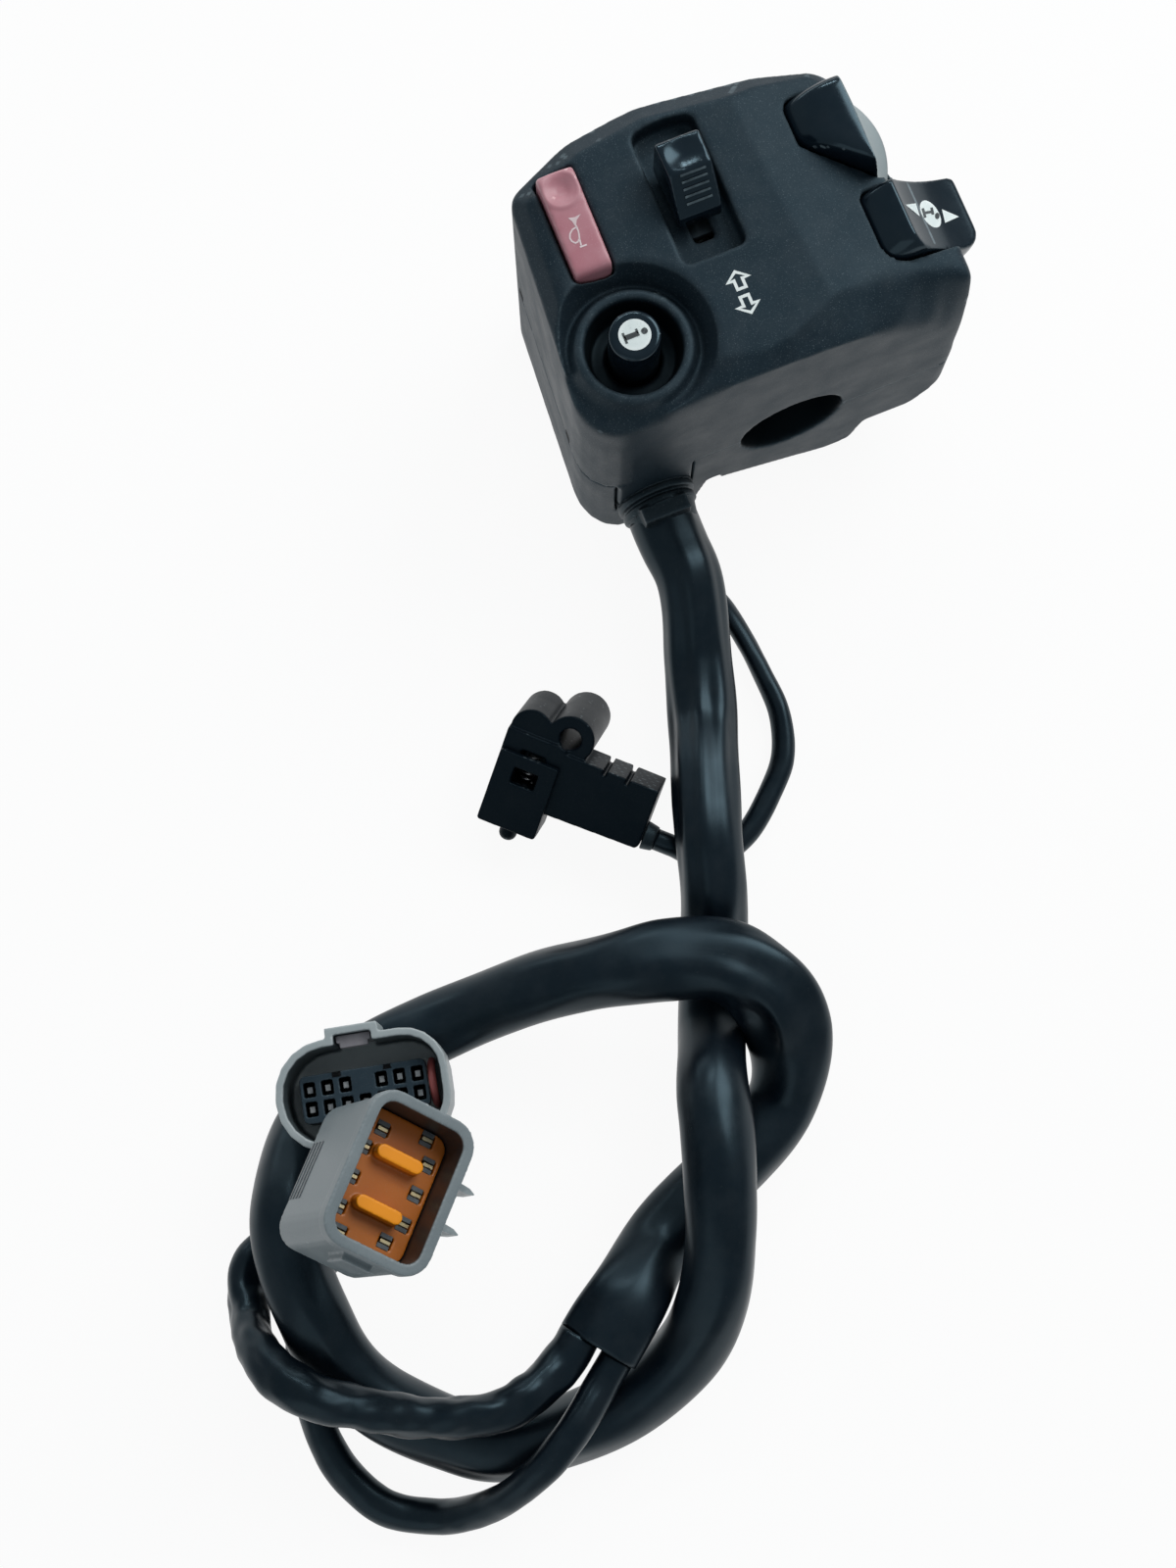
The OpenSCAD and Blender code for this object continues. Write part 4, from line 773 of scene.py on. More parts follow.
def make_loom():
    """The main sheath: fluted where it leaves the case, folded flat at the loop and pressed at its end."""
    line, run = smooth_route(LOOM_ROUTE, 1.0)
    frames = ring_frames(line, True)
    fold = nearest_run(line, run, (-47.5, -106, -8))
    loop = nearest_run(line, run, (-62, -93, -5))
    fluted = nearest_run(line, run, (-40, -52, -18))
    collar = nearest_run(line, run, (-31, -24, -16))
    end = run[-1]

    def reach(s, angle):
        wide = 7.1 + 0.35 * noise.noise((s * 0.021, 3.7, 0.0))
        tall = 6.7 + 0.30 * noise.noise((s * 0.027, 9.1, 0.0))
        flat = hump(s, fold - 8, 34)
        wide += 1.1 * flat
        tall -= 1.0 * flat
        press = soft_step(s, end - 26, end - 3)
        wide += 1.3 * press
        tall -= 1.7 * press
        x, y = math.cos(angle), math.sin(angle)
        soft = 0.10 * noise.noise((s * 0.06, x * 1.3, y * 1.3)) * (1 + 1.5 * flat)
        ribs = hump(s, fluted, 62)
        if ribs > 0:
            sway = 2.0 * math.sin(0.006 * s) + 0.8
            fade = 0.65 + 0.35 * math.sin(angle + 1)
            soft += ribs * 0.045 * math.sin(LOOM_FLUTES * angle + sway) * fade
        drape = 0.05 * math.sin(3 * angle + s * 0.016) * soft_step(s, 120, 220)
        pinch = hump(s, collar - 4, 14)
        size = 1 + 0.9 * soft + drape * 0.6 - 0.05 * pinch
        pocket = hump(s, fold + 3.0, 11.0)
        if pocket > 0:
            inward = hump(turned(angle - 0.42), 0.0, 0.75)
            lip = hump(turned(angle - 1.35), 0.0, 0.55)
            size += pocket * (0.10 * lip - 0.30 * inward)
        belly = hump(s, fold + 9.0, 19.0)
        if belly > 0:
            size += 0.35 * belly * hump(turned(angle + 0.35), 0.0, 1.3)
        return wide * x * size, tall * y * size

    mesh = sheath_mesh("loom_sheath", line, run, frames, 80, reach, cut=(0.75, 9.0))
    piece = piece_from("loom_sheath", mesh, "housing", FINISH["sheath"], "sheath")
    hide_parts("main_loom")


def make_branch(name, node, route, radius, sides, wrinkle, seed, twist, flat):
    """A thinner sheath, wrinkled and a little oval, with calm ends. seed sets its own wrinkles apart."""
    line, run = smooth_route(route, 0.8)
    frames = ring_frames(line, False)
    end = run[-1]

    def reach(s, angle):
        x, y = math.cos(angle), math.sin(angle)
        calm = soft_step(s, 2, 12) * (1 - soft_step(s, end - 12, end - 3))
        crumple = noise.noise((s * 0.11, x * 0.9 + seed, y * 0.9))
        crumple += 0.5 * noise.noise((s * 0.27, x * 1.7, y * 1.7 + seed))
        turn = angle - twist * s
        oval = flat * math.cos(2 * turn) * calm
        size = 1 + calm * wrinkle * crumple + oval
        return radius * x * size, radius * y * size

    mesh = sheath_mesh(name, line, run, frames, sides, reach)
    piece = piece_from(name, mesh, "housing", FINISH["sheath"], "sheath")
    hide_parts(node)
    return piece, line, run


make_loom()
socket_cord, socket_line, socket_run = make_branch(
    "socket_branch_sheath", "socket_branch", SOCKET_ROUTE, 4.2, 36, 0.17, 4.3, 0.05, 0.08)
plug_cord, plug_line, plug_run = make_branch(
    "plug_branch_sheath", "plug_branch", PLUG_ROUTE, 3.4, 28, 0.07, 8.9, 0.04, 0.05)
clutch_cord, clutch_line, clutch_run = make_branch(
    "clutch_lead_sheath", "clutch_lead", CLUTCH_ROUTE, 2.3, 24, 0.05, 2.1, 0.05, 0.10)

# Case and buttons

BORE_RADIUS = 11.1
INFO_AT = (-29.8, 14.4)
INFO_WELL = 9.9
GLAND_AT = (-30, -14)
HORN_DISH_AT = (-31.9, 46.6)
HORN_DISH = 3.4
KNOB_RAMP_AT = (-8.5, 32.45, 42.2)
KNOB_RAMP_FACES = (0, -0.782, 0.623)
KNOB_RIDGE_Y = 39.2
BEAM_SIDE_AT = (26.8, 28.8)
BEAM_SIDE_RUN = (-12.3, 11.0)
BEAM_FACE_X = 25.6
BEAM_MIDDLE_Y = 40
WEB_AT = 27.0
WEB_TOP = 39.0


def from_spot(p, spot):
    """How far each point is from a spot, seen from above."""
    return np.hypot(p[:, 0] - spot[0], p[:, 1] - spot[1])


def ramp(values, low, high):
    """soft_step for many values at once."""
    t = np.clip((values - low) / (high - low), 0, 1)
    return t * t * (3 - 2 * t)


def bump(values, middle, half):
    """hump for many values at once."""
    return np.clip(1 - ((values - middle) / half) ** 2, 0, 1) ** 2


def reshaped(mesh, spots):
    """Sets a mesh's points, given in millimetres."""
    mesh.vertices.foreach_set("co", (spots * MM).ravel())
    mesh.update()


def case_calm(p):
    """Rounding of the front shell: less at the seam, so that the halves meet in a fine line."""
    return 0.5 * ramp(abs(p[:, 2]), 0.4, 1.6)


def case_shape(mesh):
    """Smooths the border's right corner and the corner by the info button, and lowers the web between the
    rockers."""
    p = spots_of(mesh) / MM
    right = ramp(p[:, 0], 12, 18) * (1 - ramp(p[:, 1], 9.2, 10.6)) * ramp(p[:, 2], 3, 9)
    corner = (1 - ramp(p[:, 0], -20, -15)) * (1 - ramp(p[:, 1], 6.5, 9.5)) * ramp(p[:, 2], 22, 28)
    corner *= ramp(from_spot(p, INFO_AT), 11.6, 13.2)
    relaxed(mesh, 70, 0.5 * np.maximum(right, corner))
    p = spots_of(mesh) / MM
    web = (p[:, 1] > 25.6) & (p[:, 1] < 29.6) & (p[:, 0] > WEB_AT) & (p[:, 2] > 18)
    p[web, 2] = np.minimum(p[web, 2], WEB_TOP - 2.6 * (p[web, 0] - WEB_AT))
    reshaped(mesh, p)


def horn_dish(mesh):
    """A round dish for the thumb near the horn button's outboard end."""
    p = spots_of(mesh) / MM
    away = from_spot(p, HORN_DISH_AT)
    upper = p[:, 2] > 40.5
    p[:, 2] -= upper * (0.55 * (1 - ramp(away, 0.6, HORN_DISH)) - 0.2 * bump(away, HORN_DISH + 0.2, 0.9))
    reshaped(mesh, p)


def knob_shape(mesh):
    """A plain ramp with room for narrow ribs, and a calm ridge above it."""
    p = spots_of(mesh) / MM
    off = (p - np.array(KNOB_RAMP_AT)) @ np.array(KNOB_RAMP_FACES)
    proud = (off > 0) & (p[:, 1] < KNOB_RIDGE_Y)
    p[proud] -= off[proud, None] * np.array(KNOB_RAMP_FACES)
    reshaped(mesh, p)
    ridge = bump(spots_of(mesh)[:, 1] / MM, KNOB_RIDGE_Y + 0.3, 5.0)
    relaxed(mesh, 40, 0.15 + 0.35 * ridge)


def beam_shape(mesh):
    """Turns the finger face steeply away, bulging in its middle, and rolls the slanting side over."""
    p = spots_of(mesh) / MM
    run = np.array(BEAM_SIDE_RUN) / np.linalg.norm(BEAM_SIDE_RUN)
    side = (p[:, 0] - BEAM_SIDE_AT[0]) * run[1] - (p[:, 1] - BEAM_SIDE_AT[1]) * run[0]
    rolled = (1 - ramp(abs(side), 2.5, 6.5)) * ramp(p[:, 2], 33, 36)
    relaxed(mesh, 90, 0.5 * rolled * (1 - ramp(p[:, 0], 23.5, 26)))
    p = spots_of(mesh) / MM
    right = p[:, 0] > BEAM_FACE_X
    half = np.where(p[:, 1] > BEAM_MIDDLE_Y, 10.5, 11.0)
    keep = 0.45 + 0.40 * np.clip(1 - ((p[:, 1] - BEAM_MIDDLE_Y) / half) ** 2, 0, 1)
    p[right, 0] = BEAM_FACE_X + (p[right, 0] - BEAM_FACE_X) * keep[right]
    reshaped(mesh, p)


def scroll_shape(mesh):
    """Calms the finger face, so that it is one even dish."""
    p = spots_of(mesh) / MM
    inside = ramp(p[:, 0], 28.4, 29.6) * (1 - ramp(p[:, 0], 39.5, 41.0))
    inside *= ramp(p[:, 1], 11.8, 13.2) * (1 - ramp(p[:, 1], 24.0, 25.4)) * ramp(p[:, 2], 27, 29)
    relaxed(mesh, 90, 0.5 * inside)


def gland_shape(mesh):
    """Draws the collar in close to the loom, with its tab next to the rings."""
    p = spots_of(mesh) / MM
    out = p[:, 1] < 0
    x, z = GLAND_AT
    wide = np.hypot(p[:, 0] - x, p[:, 2] - z)
    tab = (wide > 8.7) & (p[:, 1] < -6.2)
    size = np.where(out & ~tab, 0.86, 1.0)
    p[:, 0] = x + (p[:, 0] - x) * np.where(tab, 0.84, size)
    p[:, 2] = z + (p[:, 2] - z) * size
    p[out, 1] *= 0.64
    reshaped(mesh, p)


case_front = moulded_copy("front_shell", "case_front", 0.42, 5, "housing", shape=case_shape, calm=case_calm)
case_back = moulded_copy("rear_shell", "case_back", 0.5, 6, "housing", calm=case_calm)
horn = moulded_copy("horn_button", "horn_bar", 0.25, 26, "horn", shape=horn_dish)
knob = moulded_copy("turn_knob", "turn_slider_knob", 0.2, 8, "turn_button", shape=knob_shape)
info = moulded_copy("info_button", "info_cap", 0.2, 4, "info")
beam = moulded_copy("beam_rocker", "beam_paddle", 0.3, 7, "beam", shape=beam_shape)
scroll = moulded_copy("scroll_rocker", "scroll_paddle", 0.3, 7, "scroll", shape=scroll_shape)
moulded_copy("cable_gland", "cable_collar", 0.3, 5, "housing", shape=gland_shape)
edged_copy("turn_carriage", "turn_carriage_block", 0.2, "turn_slider", "switch_black")


def paint_light_mask(piece, values):
    """Marks, point by point, how much of a piece shows its finish's painted light colour: painted shade or
    painted highlight.
    """
    layer = piece.data.attributes.new("painted_light", "FLOAT", "POINT")
    layer.data.foreach_set("value", np.asarray(values, float))


def normals_of(mesh):
    """The way each of a mesh's points faces."""
    normals = np.zeros(len(mesh.vertices) * 3)
    mesh.vertices.foreach_get("normal", normals)
    return normals.reshape(-1, 3)


def hollow_painted_shade(piece, seat, axis, length, rim):
    """Painted shade on the walls that face a hollow's middle, from a rim's width below its mouth."""
    off = spots_of(piece.data) / MM - np.array(seat)
    axis = np.array(axis) / np.linalg.norm(axis)
    along = off @ axis
    off = off - along[:, None] * axis
    away = np.linalg.norm(off, axis=1)[:, None]
    facing = -np.sum(normals_of(piece.data) * off / np.maximum(away, 1e-6), axis=1)
    paint_light_mask(piece, ramp(facing, 0.0, 0.3) * (1 - ramp(along, length - rim, length)) * ramp(along, 0.5, 1.5))


def case_painted_shade(piece):
    """Painted shade: the bore and the well round the info button are darkened."""
    p = spots_of(piece.data) / MM
    bore = 1 - ramp(np.hypot(p[:, 0], p[:, 2]), BORE_RADIUS + 0.1, BORE_RADIUS + 0.4)
    bore *= ramp(p[:, 1], 0.1, 0.5)
    well = 1 - ramp(from_spot(p, INFO_AT), INFO_WELL, INFO_WELL + 0.7)
    well *= (1 - ramp(p[:, 2], 36.4, 37.7)) * ramp(p[:, 2], 20, 22)
    paint_light_mask(piece, np.maximum(bore, well))


def beam_painted_reflection(piece):
    """A painted pale reflection on the beam paddle's finger face."""
    p = spots_of(piece.data) / MM
    facing = ramp(normals_of(piece.data)[:, 0], 0.35, 0.6)
    paint_light_mask(piece, facing * ramp(p[:, 0], BEAM_FACE_X - 1.0, BEAM_FACE_X) * ramp(p[:, 2], 26, 28))


case_painted_shade(case_front)
case_painted_shade(case_back)
beam_painted_reflection(beam)

# Clutch switch and springs

clutch_body = moulded_copy("clutch_switch_body", "clutch_body", 0.22, 9, "housing")
clutch_cover = moulded_copy("clutch_switch_cover", "clutch_cover_plate", 0.18, 6, "housing")
clutch_pin = edged_copy("clutch_plunger", "clutch_pin", 0.3, "plunger")
clutch_boot = moulded_copy("clutch_lead_boot", "clutch_boot", 0.25, 5, "housing")


def pressed_coil(node, name, body):
    """A coil as its CAD solid, shaded smooth, with a mesh of its own."""
    mesh = clean_copy(node)
    smoothed(mesh)
    piece = piece_from(name, mesh, body, FINISH["steel"], "steel")
    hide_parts(node)
    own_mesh(piece)
    return piece


DOWN = (0, 0, -1)
pressed_coil("info_spring", "info_coil", "housing")
pressed_coil("horn_spring", "horn_coil", "housing")
pressed_coil("turn_cancel_spring", "cancel_coil", "turn_slider")
clutch_coil = pressed_coil(
    "clutch_plunger_spring", "clutch_coil", "housing")

# Connectors

HOOD = Matrix.Translation((-130.1, -94.1, -11)) @ Matrix.Rotation(math.radians(-13), 4, "Z")
HOOD_LEN = 15.0
INSERT_TOP = 10.0
PLUG = (Matrix.Translation((-138.7, -111.5, 10.6)) @ Matrix.Rotation(math.radians(-14), 4, "Z")
        @ Matrix.Rotation(math.radians(27), 4, "Y") @ Matrix.Rotation(math.radians(-46 + 14), 4, "Z"))
PLUG_LEN = 25.5
PLATE_TOP = 17.5
TERMINAL_ROWS = (-10.2, -5.9, 0.0, 5.9, 10.2)
TERMINAL_SIZE = (2.6, 1.0, 0.95)
SPIKE_ROWS = (4, -4)
SPIKE_SIZE = (6.3, 1.6, 5.6)


def spot_on(turn, x, y, z):
    """A connector's own spot, in the part's frame."""
    return tuple(turn @ Vector((x, y, z)))


def way_on(turn, x, y, z):
    """A connector's own direction, in the part's frame."""
    return tuple(turn.to_3x3() @ Vector((x, y, z)))


def own_spots(piece, turn):
    """A piece's points in its own frame, in millimetres."""
    return [turn.inverted() @ (vertex.co / MM) for vertex in piece.data.vertices]


def plain_side(piece, turn):
    """Presses what stands out of a shell's far side flat, so that other pieces can stand there."""
    spots = own_spots(piece, turn)
    wall = max(spot.x for spot in spots if abs(spot.y) < 1.5)
    for vertex, spot in zip(piece.data.vertices, spots):
        if spot.x > wall:
            vertex.co = Vector(spot_on(turn, wall, spot.y, spot.z)) * MM


def tapered_blocks(name, turn, blocks, body, finish):
    """Small moulded blocks: each has its lower corner, its size and how far its top draws in."""
    points, faces = [], []
    for (x, y, z), (w, d, h), draw in blocks:
        start = len(points)
        for level, inset in ((z, 0.0), (z + 0.75 * h, 0.35 * draw), (z + h, draw)):
            for cx, cy in ((x + inset, y + inset), (x + w - inset, y + inset), (x + w - inset, y + d - inset),
                           (x + inset, y + d - inset)):
                points.append(Vector(spot_on(turn, cx, cy, level)) * MM)
        for row in (0, 4):
            for k in range(4):
                n = (k + 1) % 4
                faces.append((start + row + k, start + row + n, start + row + 4 + n, start + row + 4 + k))
        faces.append((start + 3, start + 2, start + 1, start))
        faces.append((start + 8, start + 9, start + 10, start + 11))
    return piece_from(name, mesh_from(name, points, faces, False), body, finish)


hood = moulded_copy("socket_hood", "socket_cap", 0.25, 4, "housing")
hollow_painted_shade(hood, spot_on(HOOD, 0, 0, 0), (0, 0, 1), HOOD_LEN, 1.4)
insert = moulded_copy("socket_insert", "socket_core", 0.2, 2, "housing")
# Painted shade: the insert darkens from just below its top, in its cells and down its sides.
paint_light_mask(insert, 1 - ramp(spots_of(insert.data)[:, 2] / MM, INSERT_TOP - 11.9, INSERT_TOP - 11.3))
contacts = edged_copy("socket_contacts", "socket_pins", 0.12, "housing", segments=1)
latch = edged_copy("socket_latch", "socket_tab", 0.3, "housing", finish=LATCH_GREY)
plug = moulded_copy("plug_shell", "plug_case", 0.25, 4, "housing")
plain_side(plug, PLUG)
hollow_painted_shade(plug, spot_on(PLUG, 0, 0, 0), way_on(PLUG, 0, 0, 1), PLUG_LEN, 0.6)
plug_core = moulded_copy("plug_insert", "plug_core", 0.2, 3, "housing")
# Painted highlight: the fins that stand up from the orange plate are painted brighter.
core_level = np.array([spot.z for spot in own_spots(plug_core, PLUG)])
paint_light_mask(plug_core, ramp(core_level, PLATE_TOP + 0.4, PLATE_TOP + 1.6))
blades = edged_copy("plug_blades", "plug_tabs", 0.12, "housing", segments=1)
# Dark blocks of painted shade in the holes round the plug's blades.
terminal_shade_blocks = []
for side in (-1, 1):
    for y in TERMINAL_ROWS:
        x = side * (4.4 if abs(y) > 8 else 6.4)
        for beside in (-1.5, 0.5):
            terminal_shade_blocks.append(((x - 1.5, y + side + beside, PLATE_TOP - 0.8), TERMINAL_SIZE, 0.12))
plug_terminal_shade = tapered_blocks("plug_terminal_shade", PLUG, terminal_shade_blocks, "housing", PAINTED_HOLE_SHADE)
spike_turn = PLUG @ Matrix.Rotation(math.radians(90), 4, "Y")
plug_spikes = tapered_blocks(
    "plug_spikes", spike_turn, [((-PLUG_LEN + 2.6, y, 9.6), SPIKE_SIZE, 0.7) for y in SPIKE_ROWS],
    "housing", FINISH["plug_grey"])

# Signs, ribs and slots

INK = 0.12
RAY_BACK = 30.0
STROKE_STEP = 0.5
FILL_ROWS = 4


def surface_of(obj):
    """A piece's faces, ready to be hit by rays."""
    return BVHTree.FromPolygons([v.co for v in obj.data.vertices], [p.vertices for p in obj.data.polygons])


def stroke_faces(stroke, width):
    """The faces of a line of a given width, with mitred corners."""
    line = [np.array(p, float) for p in stroke]
    closed = np.allclose(line[0], line[-1])
    count = len(line)
    offsets = []
    for k in range(count):
        before = line[k - 1] if k else (line[-2] if closed else line[k])
        after = line[k + 1] if k < count - 1 else (line[1] if closed else line[k])
        d1 = line[k] - before
        d2 = after - line[k]
        d1 = d1 / np.linalg.norm(d1) if np.linalg.norm(d1) > 1e-9 else d2 / np.linalg.norm(d2)
        d2 = d2 / np.linalg.norm(d2) if np.linalg.norm(d2) > 1e-9 else d1
        n1, n2 = np.array((-d1[1], d1[0])), np.array((-d2[1], d2[0]))
        mitre = (n1 + n2) / max(0.35, 1 + n1.dot(n2))
        offsets.append(mitre * width / 2)
    for k in range(count - 1):
        steps = max(1, int(np.linalg.norm(line[k + 1] - line[k]) / STROKE_STEP))
        for q in range(steps):
            t0, t1 = q / steps, (q + 1) / steps
            a = line[k] * (1 - t0) + line[k + 1] * t0
            b = line[k] * (1 - t1) + line[k + 1] * t1
            oa = offsets[k] * (1 - t0) + offsets[k + 1] * t0
            ob = offsets[k] * (1 - t1) + offsets[k + 1] * t1
            yield [a + oa, a - oa, b - ob, b + ob]


def fill_faces(outline):
    """The faces of a filled outline, in rows out from its middle."""
    middle = np.mean(np.array(outline, float), axis=0)
    count = len(outline)
    for k in range(count):
        a, b = np.array(outline[k], float), np.array(outline[(k + 1) % count], float)
        for q in range(FILL_ROWS):
            t0, t1 = q / FILL_ROWS, (q + 1) / FILL_ROWS
            corners = [middle + (a - middle) * t0, middle + (a - middle) * t1,
                       middle + (b - middle) * t1, middle + (b - middle) * t0]
            yield corners if q else corners[:3]


def strokes_to_sign(name, strokes, width, fills, onto, start, look, across, up, body, finish, lift=0.05):
    """A printed sign, a rib or a slot laid on a piece's surface. strokes and fills are lines and outlines in
    millimetres on a plane at start, with across and up as its directions. look is the way it is pressed."""
    tree = surface_of(onto)
    start, look = Vector(start) * MM, Vector(look).normalized()
    across, up = Vector(across).normalized(), Vector(up).normalized()
    edit = bmesh.new()

    def laid(x, y):
        spot = start + across * (x * MM) + up * (y * MM)
        hit = tree.ray_cast(spot - look * (RAY_BACK * MM), look)
        if hit[0] is None:
            return spot
        return hit[0] - look * (lift * MM)

    shapes = [stroke_faces(stroke, width) for stroke in strokes] + [fill_faces(outline) for outline in fills]
    for shape in shapes:
        for corners in shape:
            edit.faces.new([edit.verts.new(laid(x, y)) for x, y in corners])
    bmesh.ops.remove_doubles(edit, verts=edit.verts, dist=1e-6)
    bmesh.ops.recalc_face_normals(edit, faces=edit.faces)
    mesh = bpy.data.meshes.new(name)
    edit.to_mesh(mesh)
    edit.free()
    if mesh.polygons and sum(p.normal.dot(look) for p in mesh.polygons) > 0:
        mesh.flip_normals()
    piece = piece_from(name, mesh, body, finish)
    thick = piece.modifiers.new("ink", "SOLIDIFY")
    thick.thickness = INK * MM
    thick.offset = -1.0
    return piece


def box_outline(x, y, half_x, half_y):
    """The four corners of a box round a middle."""
    return [(x - half_x, y - half_y), (x + half_x, y - half_y),
            (x + half_x, y + half_y), (x - half_x, y + half_y)]


def round_outline(radius, count, cx=0.0, cy=0.0, ry=None):
    """A disc's outline, or an oval's where ry is given."""
    return [(cx + radius * math.cos(2 * math.pi * k / count),
             cy + (ry or radius) * math.sin(2 * math.pi * k / count)) for k in range(count)]


RIGHT, OUT = (1, 0, 0), (0, 1, 0)
LEFT, IN = (-1, 0, 0), (0, -1, 0)
UP = (0, 0, 1)
ARROW = [(0, 1.7), (-2.1, 0.1), (-0.85, 0.1), (-0.85, -1.8), (0.85, -1.8), (0.85, 0.1), (2.1, 0.1), (0, 1.7)]
RIB_ROWS = (3.1, 4.65, 6.2, 7.75, 9.2)
GRIP_ROWS = (0.9, 2.5, 4.1, 5.7)
LOOK = (0.2895, 0.3277, -0.9427)
SEEN_RIGHT = (0.9272, -0.3746, 0.0)
SEEN_UP = (0.3689, 0.9131, 0.1736)


def make_turn_signs():
    """Two outline arrows below the turn knob, one for each way it slides."""
    strokes_to_sign("turn_sign_out", [ARROW], 0.6, [], case_front, (-7.1, 18.2, 40), DOWN, RIGHT, OUT,
                    "housing", SIGN_WHITE)
    strokes_to_sign("turn_sign_in", [ARROW], 0.6, [], case_front, (-7.3, 13.0, 40), DOWN, LEFT, IN,
                    "housing", SIGN_WHITE)


def make_knob_ribs():
    """Narrow ribs across the knob's ramp."""
    _, y, z = KNOB_RAMP_FACES
    ribs = [[(-2.6, at), (2.6, at)] for at in RIB_ROWS]
    strokes_to_sign("turn_slider_ribs", ribs, 0.42, [], knob, KNOB_RAMP_AT, (0, -y, -z), RIGHT, (0, z, -y),
                    "turn_button", FINISH["button_plastic"], lift=0.22)


def make_info_sign():
    """A white disc on the info button, with a dark letter on it."""
    cap_at = (*INFO_AT, 44)
    strokes_to_sign("info_disc", [], 0, [round_outline(3.1, 48)], info, cap_at, DOWN, RIGHT, OUT,
                    "info", SIGN_WHITE)
    feet = [[(-2.0, -1.1), (-2.0, 1.1)], [(0.62, -0.1), (0.62, 0.95)]]
    dot = round_outline(0.62, 20, 1.95, 0.0)
    stem = [(-2.1, -0.5), (0.83, -0.5), (0.83, 0.5), (-2.1, 0.5)]
    strokes_to_sign("info_sign", feet, 0.42, [dot, stem], info, cap_at, DOWN, RIGHT, OUT,
                    "info", SIGN_DARK, lift=0.14)


def make_horn_sign():
    """A coiled horn on the horn button."""
    tube = [(0.15, 1.3), (0.24, 0.6), (0.22, -0.2), (0.05, -1.0), (-0.15, -1.7), (-0.3, -2.9)]
    coil = [(0.2, 0.75), (-0.75, 0.55), (-1.45, -0.05), (-1.75, -0.8), (-1.65, -1.5), (-1.15, -2.05),
            (-0.6, -2.0), (-0.2, -1.55)]
    mouth = [(-0.65, -3.1), (0.74, -3.1)]
    bell = [(-0.63, 2.9), (0.6, 2.62), (1.86, 2.8), (0.75, 2.0), (0.32, 1.2), (-0.02, 1.2), (-0.12, 2.0)]
    strokes_to_sign("horn_sign", [tube, coil, mouth], 0.3, [bell], horn, (-32.0, 37.8, 44), DOWN, RIGHT, OUT,
                    "horn", SIGN_PALE)


def make_slots():
    """Dark painted shade for the pry slots by the case's seam, the key slots round the socket's rows and the
    grip lines on the plug.
    """
    for name, y in (("seam_slot_shade_out", 45.6), ("seam_slot_shade_in", 13.8)):
        strokes_to_sign(name, [], 0, [box_outline(0, 0, 1.1, 1.2)], case_front, (-46, y, 2.2), RIGHT, OUT, UP,
                        "housing", PAINTED_SLOT_SHADE)
    keys = [box_outline(x, y, 0.85, 0.5) for x, y in ((-5.0, 4.15), (5.0, 4.15), (5.0, -4.15), (-5.0, -4.15))]
    strokes_to_sign("socket_key_slot_shade", [], 0, keys, insert, spot_on(HOOD, 0, 0, INSERT_TOP), DOWN,
                    way_on(HOOD, 1, 0, 0), way_on(HOOD, 0, 1, 0), "housing", PAINTED_SLOT_SHADE)
    # The grip lines are dark strips of painted shade.
    lines = [[(-6.5, at), (5.0, at)] for at in GRIP_ROWS]
    strokes_to_sign("plug_grip_line_shade", lines, 0.55, [], plug, spot_on(PLUG, -12, 0, 0),
                    way_on(PLUG, 1, 0, 0), way_on(PLUG, 0, 1, 0), way_on(PLUG, 0, 0, 1),
                    "housing", PAINTED_HOLE_SHADE, lift=0.14)


def make_scroll_sign():
    """A letter in a disc between two triangles, pressed on the scroll paddle's face on the slant."""
    slanted = (scroll, (33.05, 18.08, 37), LOOK, SEEN_RIGHT, SEEN_UP, "scroll")
    triangles = [[(-4.7, 1.77), (-2.83, 2.04), (-2.04, -0.44)], [(2.21, 0.92), (5.52, -0.51), (2.83, -1.7)]]
    strokes_to_sign("scroll_sign_ends", [], 0, triangles, *slanted, SIGN_WHITE)
    oval = [(1.95 * math.cos(t) - 0.55 * math.sin(t), 2.5 * math.sin(t) - 0.75 * math.cos(t))
            for t in (2 * math.pi * k / 40 for k in range(40))]
    strokes_to_sign("scroll_sign_disc", [], 0, [oval], *slanted, SIGN_WHITE)
    letter = [[(-1.5, 1.1), (-1.0, -0.7)], [(-1.25, 0.2), (0.35, 0.45)], [(0.2, 1.25), (0.5, -0.1)]]
    dot = round_outline(0.45, 16, 1.3, -0.35, 0.62)
    strokes_to_sign("scroll_sign", letter, 0.5, [dot], *slanted, SIGN_DARK, lift=0.14)


make_turn_signs()
make_knob_ribs()
make_info_sign()
make_horn_sign()
make_slots()
make_scroll_sign()


def make_socket_wires():
    """Two thin wires that loop up beside the insert, one red and one white."""
    made = []
    for name, shift, finish in (("socket_wire_red", 0.0, FINISH["wire_red"]),
                                ("socket_wire_white", -1.1, WIRE_WHITE)):
        loop = [(-4.4, 2.2), (-4.2, 5.5), (-3.0, 8.2 + shift), (-0.5, 9.3 + shift), (2.2, 8.6 + shift),
                (3.9, 6.0), (4.2, 2.2)]
        route = [spot_on(HOOD, 13.4 + 0.7 * shift, y, z) for y, z in loop]
        line, run = smooth_route(route, 0.4)
        mesh = sheath_mesh(name, line, run, ring_frames(line, False), 16,
                           lambda s, angle: (WIRE_RADIUS * math.cos(angle), WIRE_RADIUS * math.sin(angle)))
        made.append(piece_from(name, mesh, "housing", finish))
    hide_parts("socket_wires")
    return made


socket_wires = make_socket_wires()

# Each cord's first point, in metres; the lists are not kept

[v * MM for v in SOCKET_ROUTE[0]]
[v * MM for v in PLUG_ROUTE[0]]
[v * MM for v in CLUTCH_ROUTE[0]]

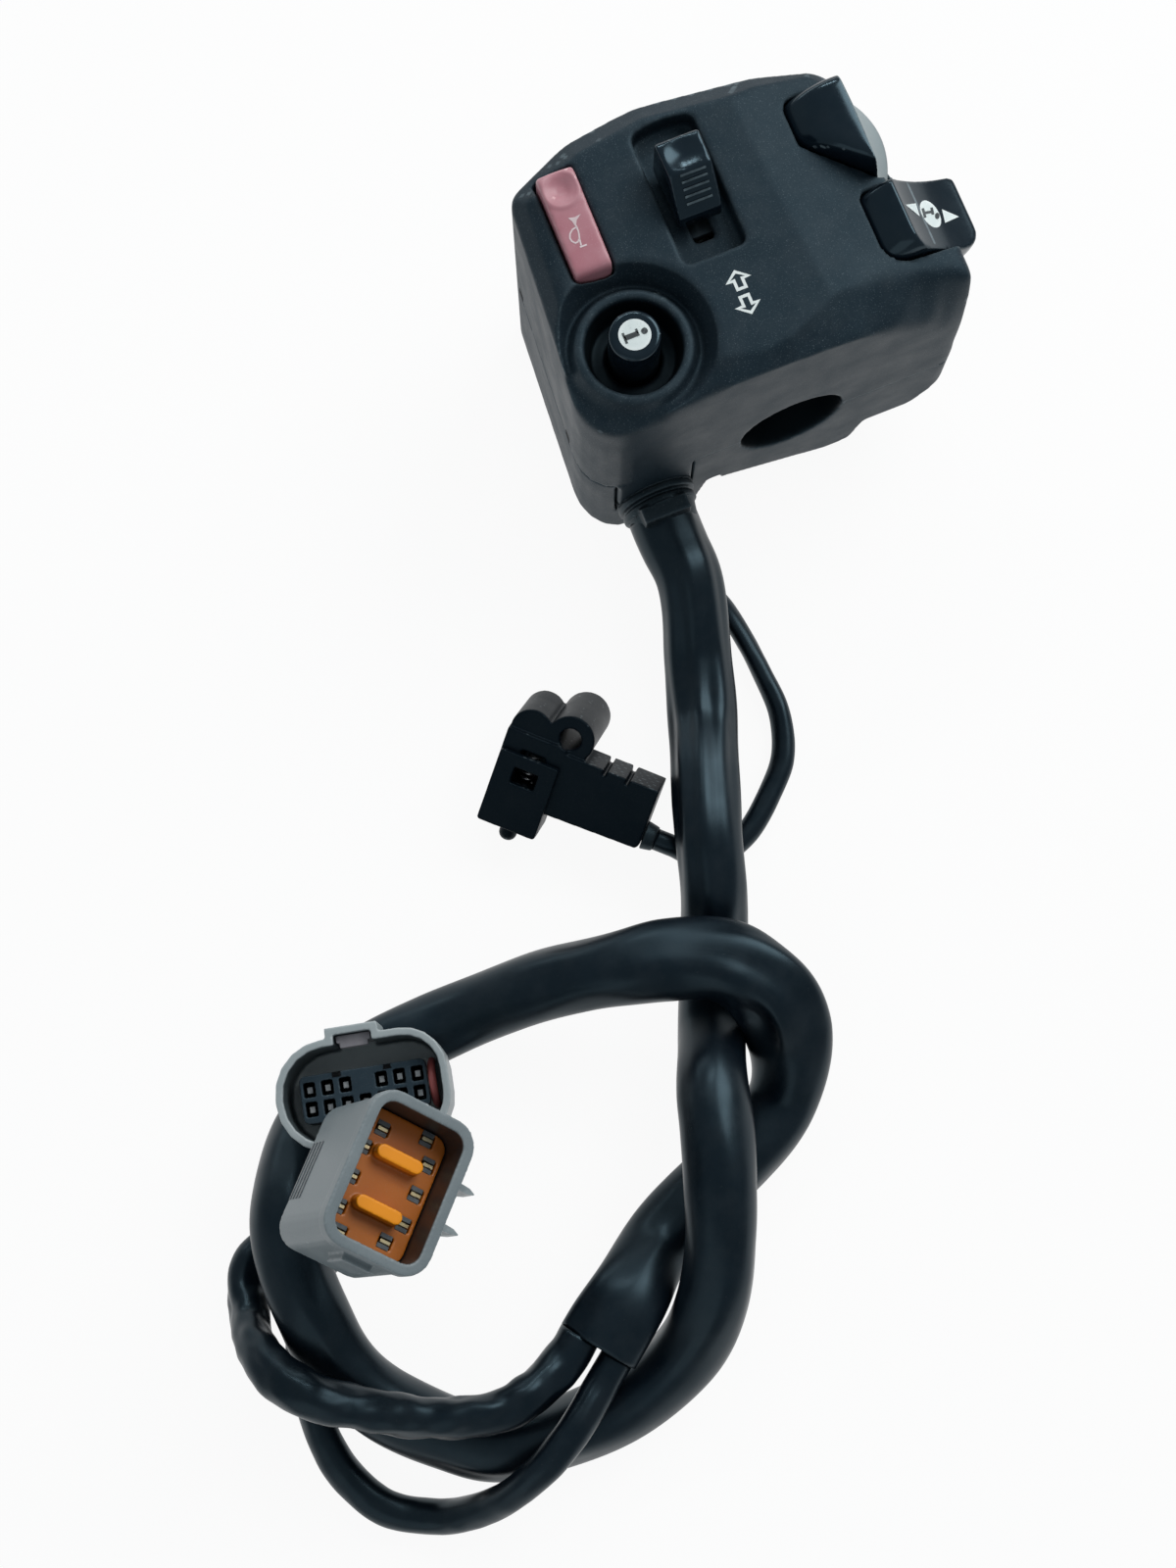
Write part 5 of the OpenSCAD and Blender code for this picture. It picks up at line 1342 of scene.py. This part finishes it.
# Floor and light

FLOOR_HALF = 3.0
FLOOR_GLOW = 0.93


def mixed(tree, factor, a, b, end):
    """Mixes two shaders at the end of a tree."""
    mix = tree.nodes.new("ShaderNodeMixShader")
    for socket, source in zip(mix.inputs, (factor, a.outputs[0], b.outputs[0])):
        wire(tree, source, socket)
    wire(tree, mix.outputs[0], tree.nodes[end].inputs["Surface"])


def make_floor():
    """Plain pale paper, which keeps its shadow while its own colour shows as near white."""
    corners = [(x, y, TABLE_Z * MM) for x, y in box_outline(0, 0, FLOOR_HALF, FLOOR_HALF)]
    mesh = mesh_from("floor", corners, [(0, 1, 2, 3)], False)
    material, tree, shader = new_finish("floor_paper", Roughness=0.8)
    shader.inputs["Base Color"].default_value = (0.86, 0.87, 0.87, 1)
    rays = put(tree, "ShaderNodeLightPath").outputs
    seen = sums(tree, "MAXIMUM", sums(tree, "MAXIMUM", rays["Is Camera Ray"], rays["Is Glossy Ray"]),
                rays["Is Transmission Ray"])
    glow = put(tree, "ShaderNodeEmission", Color=(1, 1, 1, 1), Strength=1.0)
    mixed(tree, sums(tree, "MULTIPLY", seen, FLOOR_GLOW), shader, glow, "Material Output")
    floor = bpy.data.objects.new("floor", mesh)
    mesh.materials.append(material)
    scene.collection.objects.link(floor)


def soft_box(name, at, aim, wide, tall, watts):
    """A lamp with a wide soft face, aimed at a spot."""
    lamp = bpy.data.lights.new(name, "AREA")
    lamp.shape = "RECTANGLE"
    lamp.size = wide
    lamp.size_y = tall
    lamp.energy = watts
    obj = bpy.data.objects.new(name, lamp)
    spot = Vector(at)
    obj.location = spot
    obj.rotation_euler = (Vector(aim) - spot).to_track_quat("-Z", "Y").to_euler()
    scene.collection.objects.link(obj)


def make_light():
    """A dim cool room, white to the camera, with soft boxes and three small ceiling panels."""
    world = bpy.data.worlds.new("studio")
    scene.world = world
    world.use_nodes = True
    tree = world.node_tree
    back = tree.nodes["Background"]
    back.inputs["Color"].default_value = (0.86, 0.94, 1.0, 1)
    back.inputs["Strength"].default_value = 0.33
    white = put(tree, "ShaderNodeBackground", Color=(1, 1, 1, 1), Strength=1.0)
    seen = put(tree, "ShaderNodeLightPath").outputs["Is Camera Ray"]
    mixed(tree, seen, back, white, "World Output")
    middle = (-0.07, -0.07, 0.0)
    soft_box("key_box", (0.50, 0.22, 0.55), middle, 0.5, 0.5, 3.8)
    soft_box("fill_box", (-0.60, -0.55, 0.45), middle, 0.7, 0.7, 0.7)
    soft_box("back_strip", (-0.05, 0.75, 0.22), (-0.01, 0.05, 0.03), 0.9, 0.12, 0.9)
    for k in range(3):
        soft_box("ceiling_panel_%d" % (k + 1), (-0.02 + 0.13 * k, 0.62, 0.62), (0.0, 0.03, 0.04),
                 0.09, 0.05, 0.35)


make_floor()
make_light()
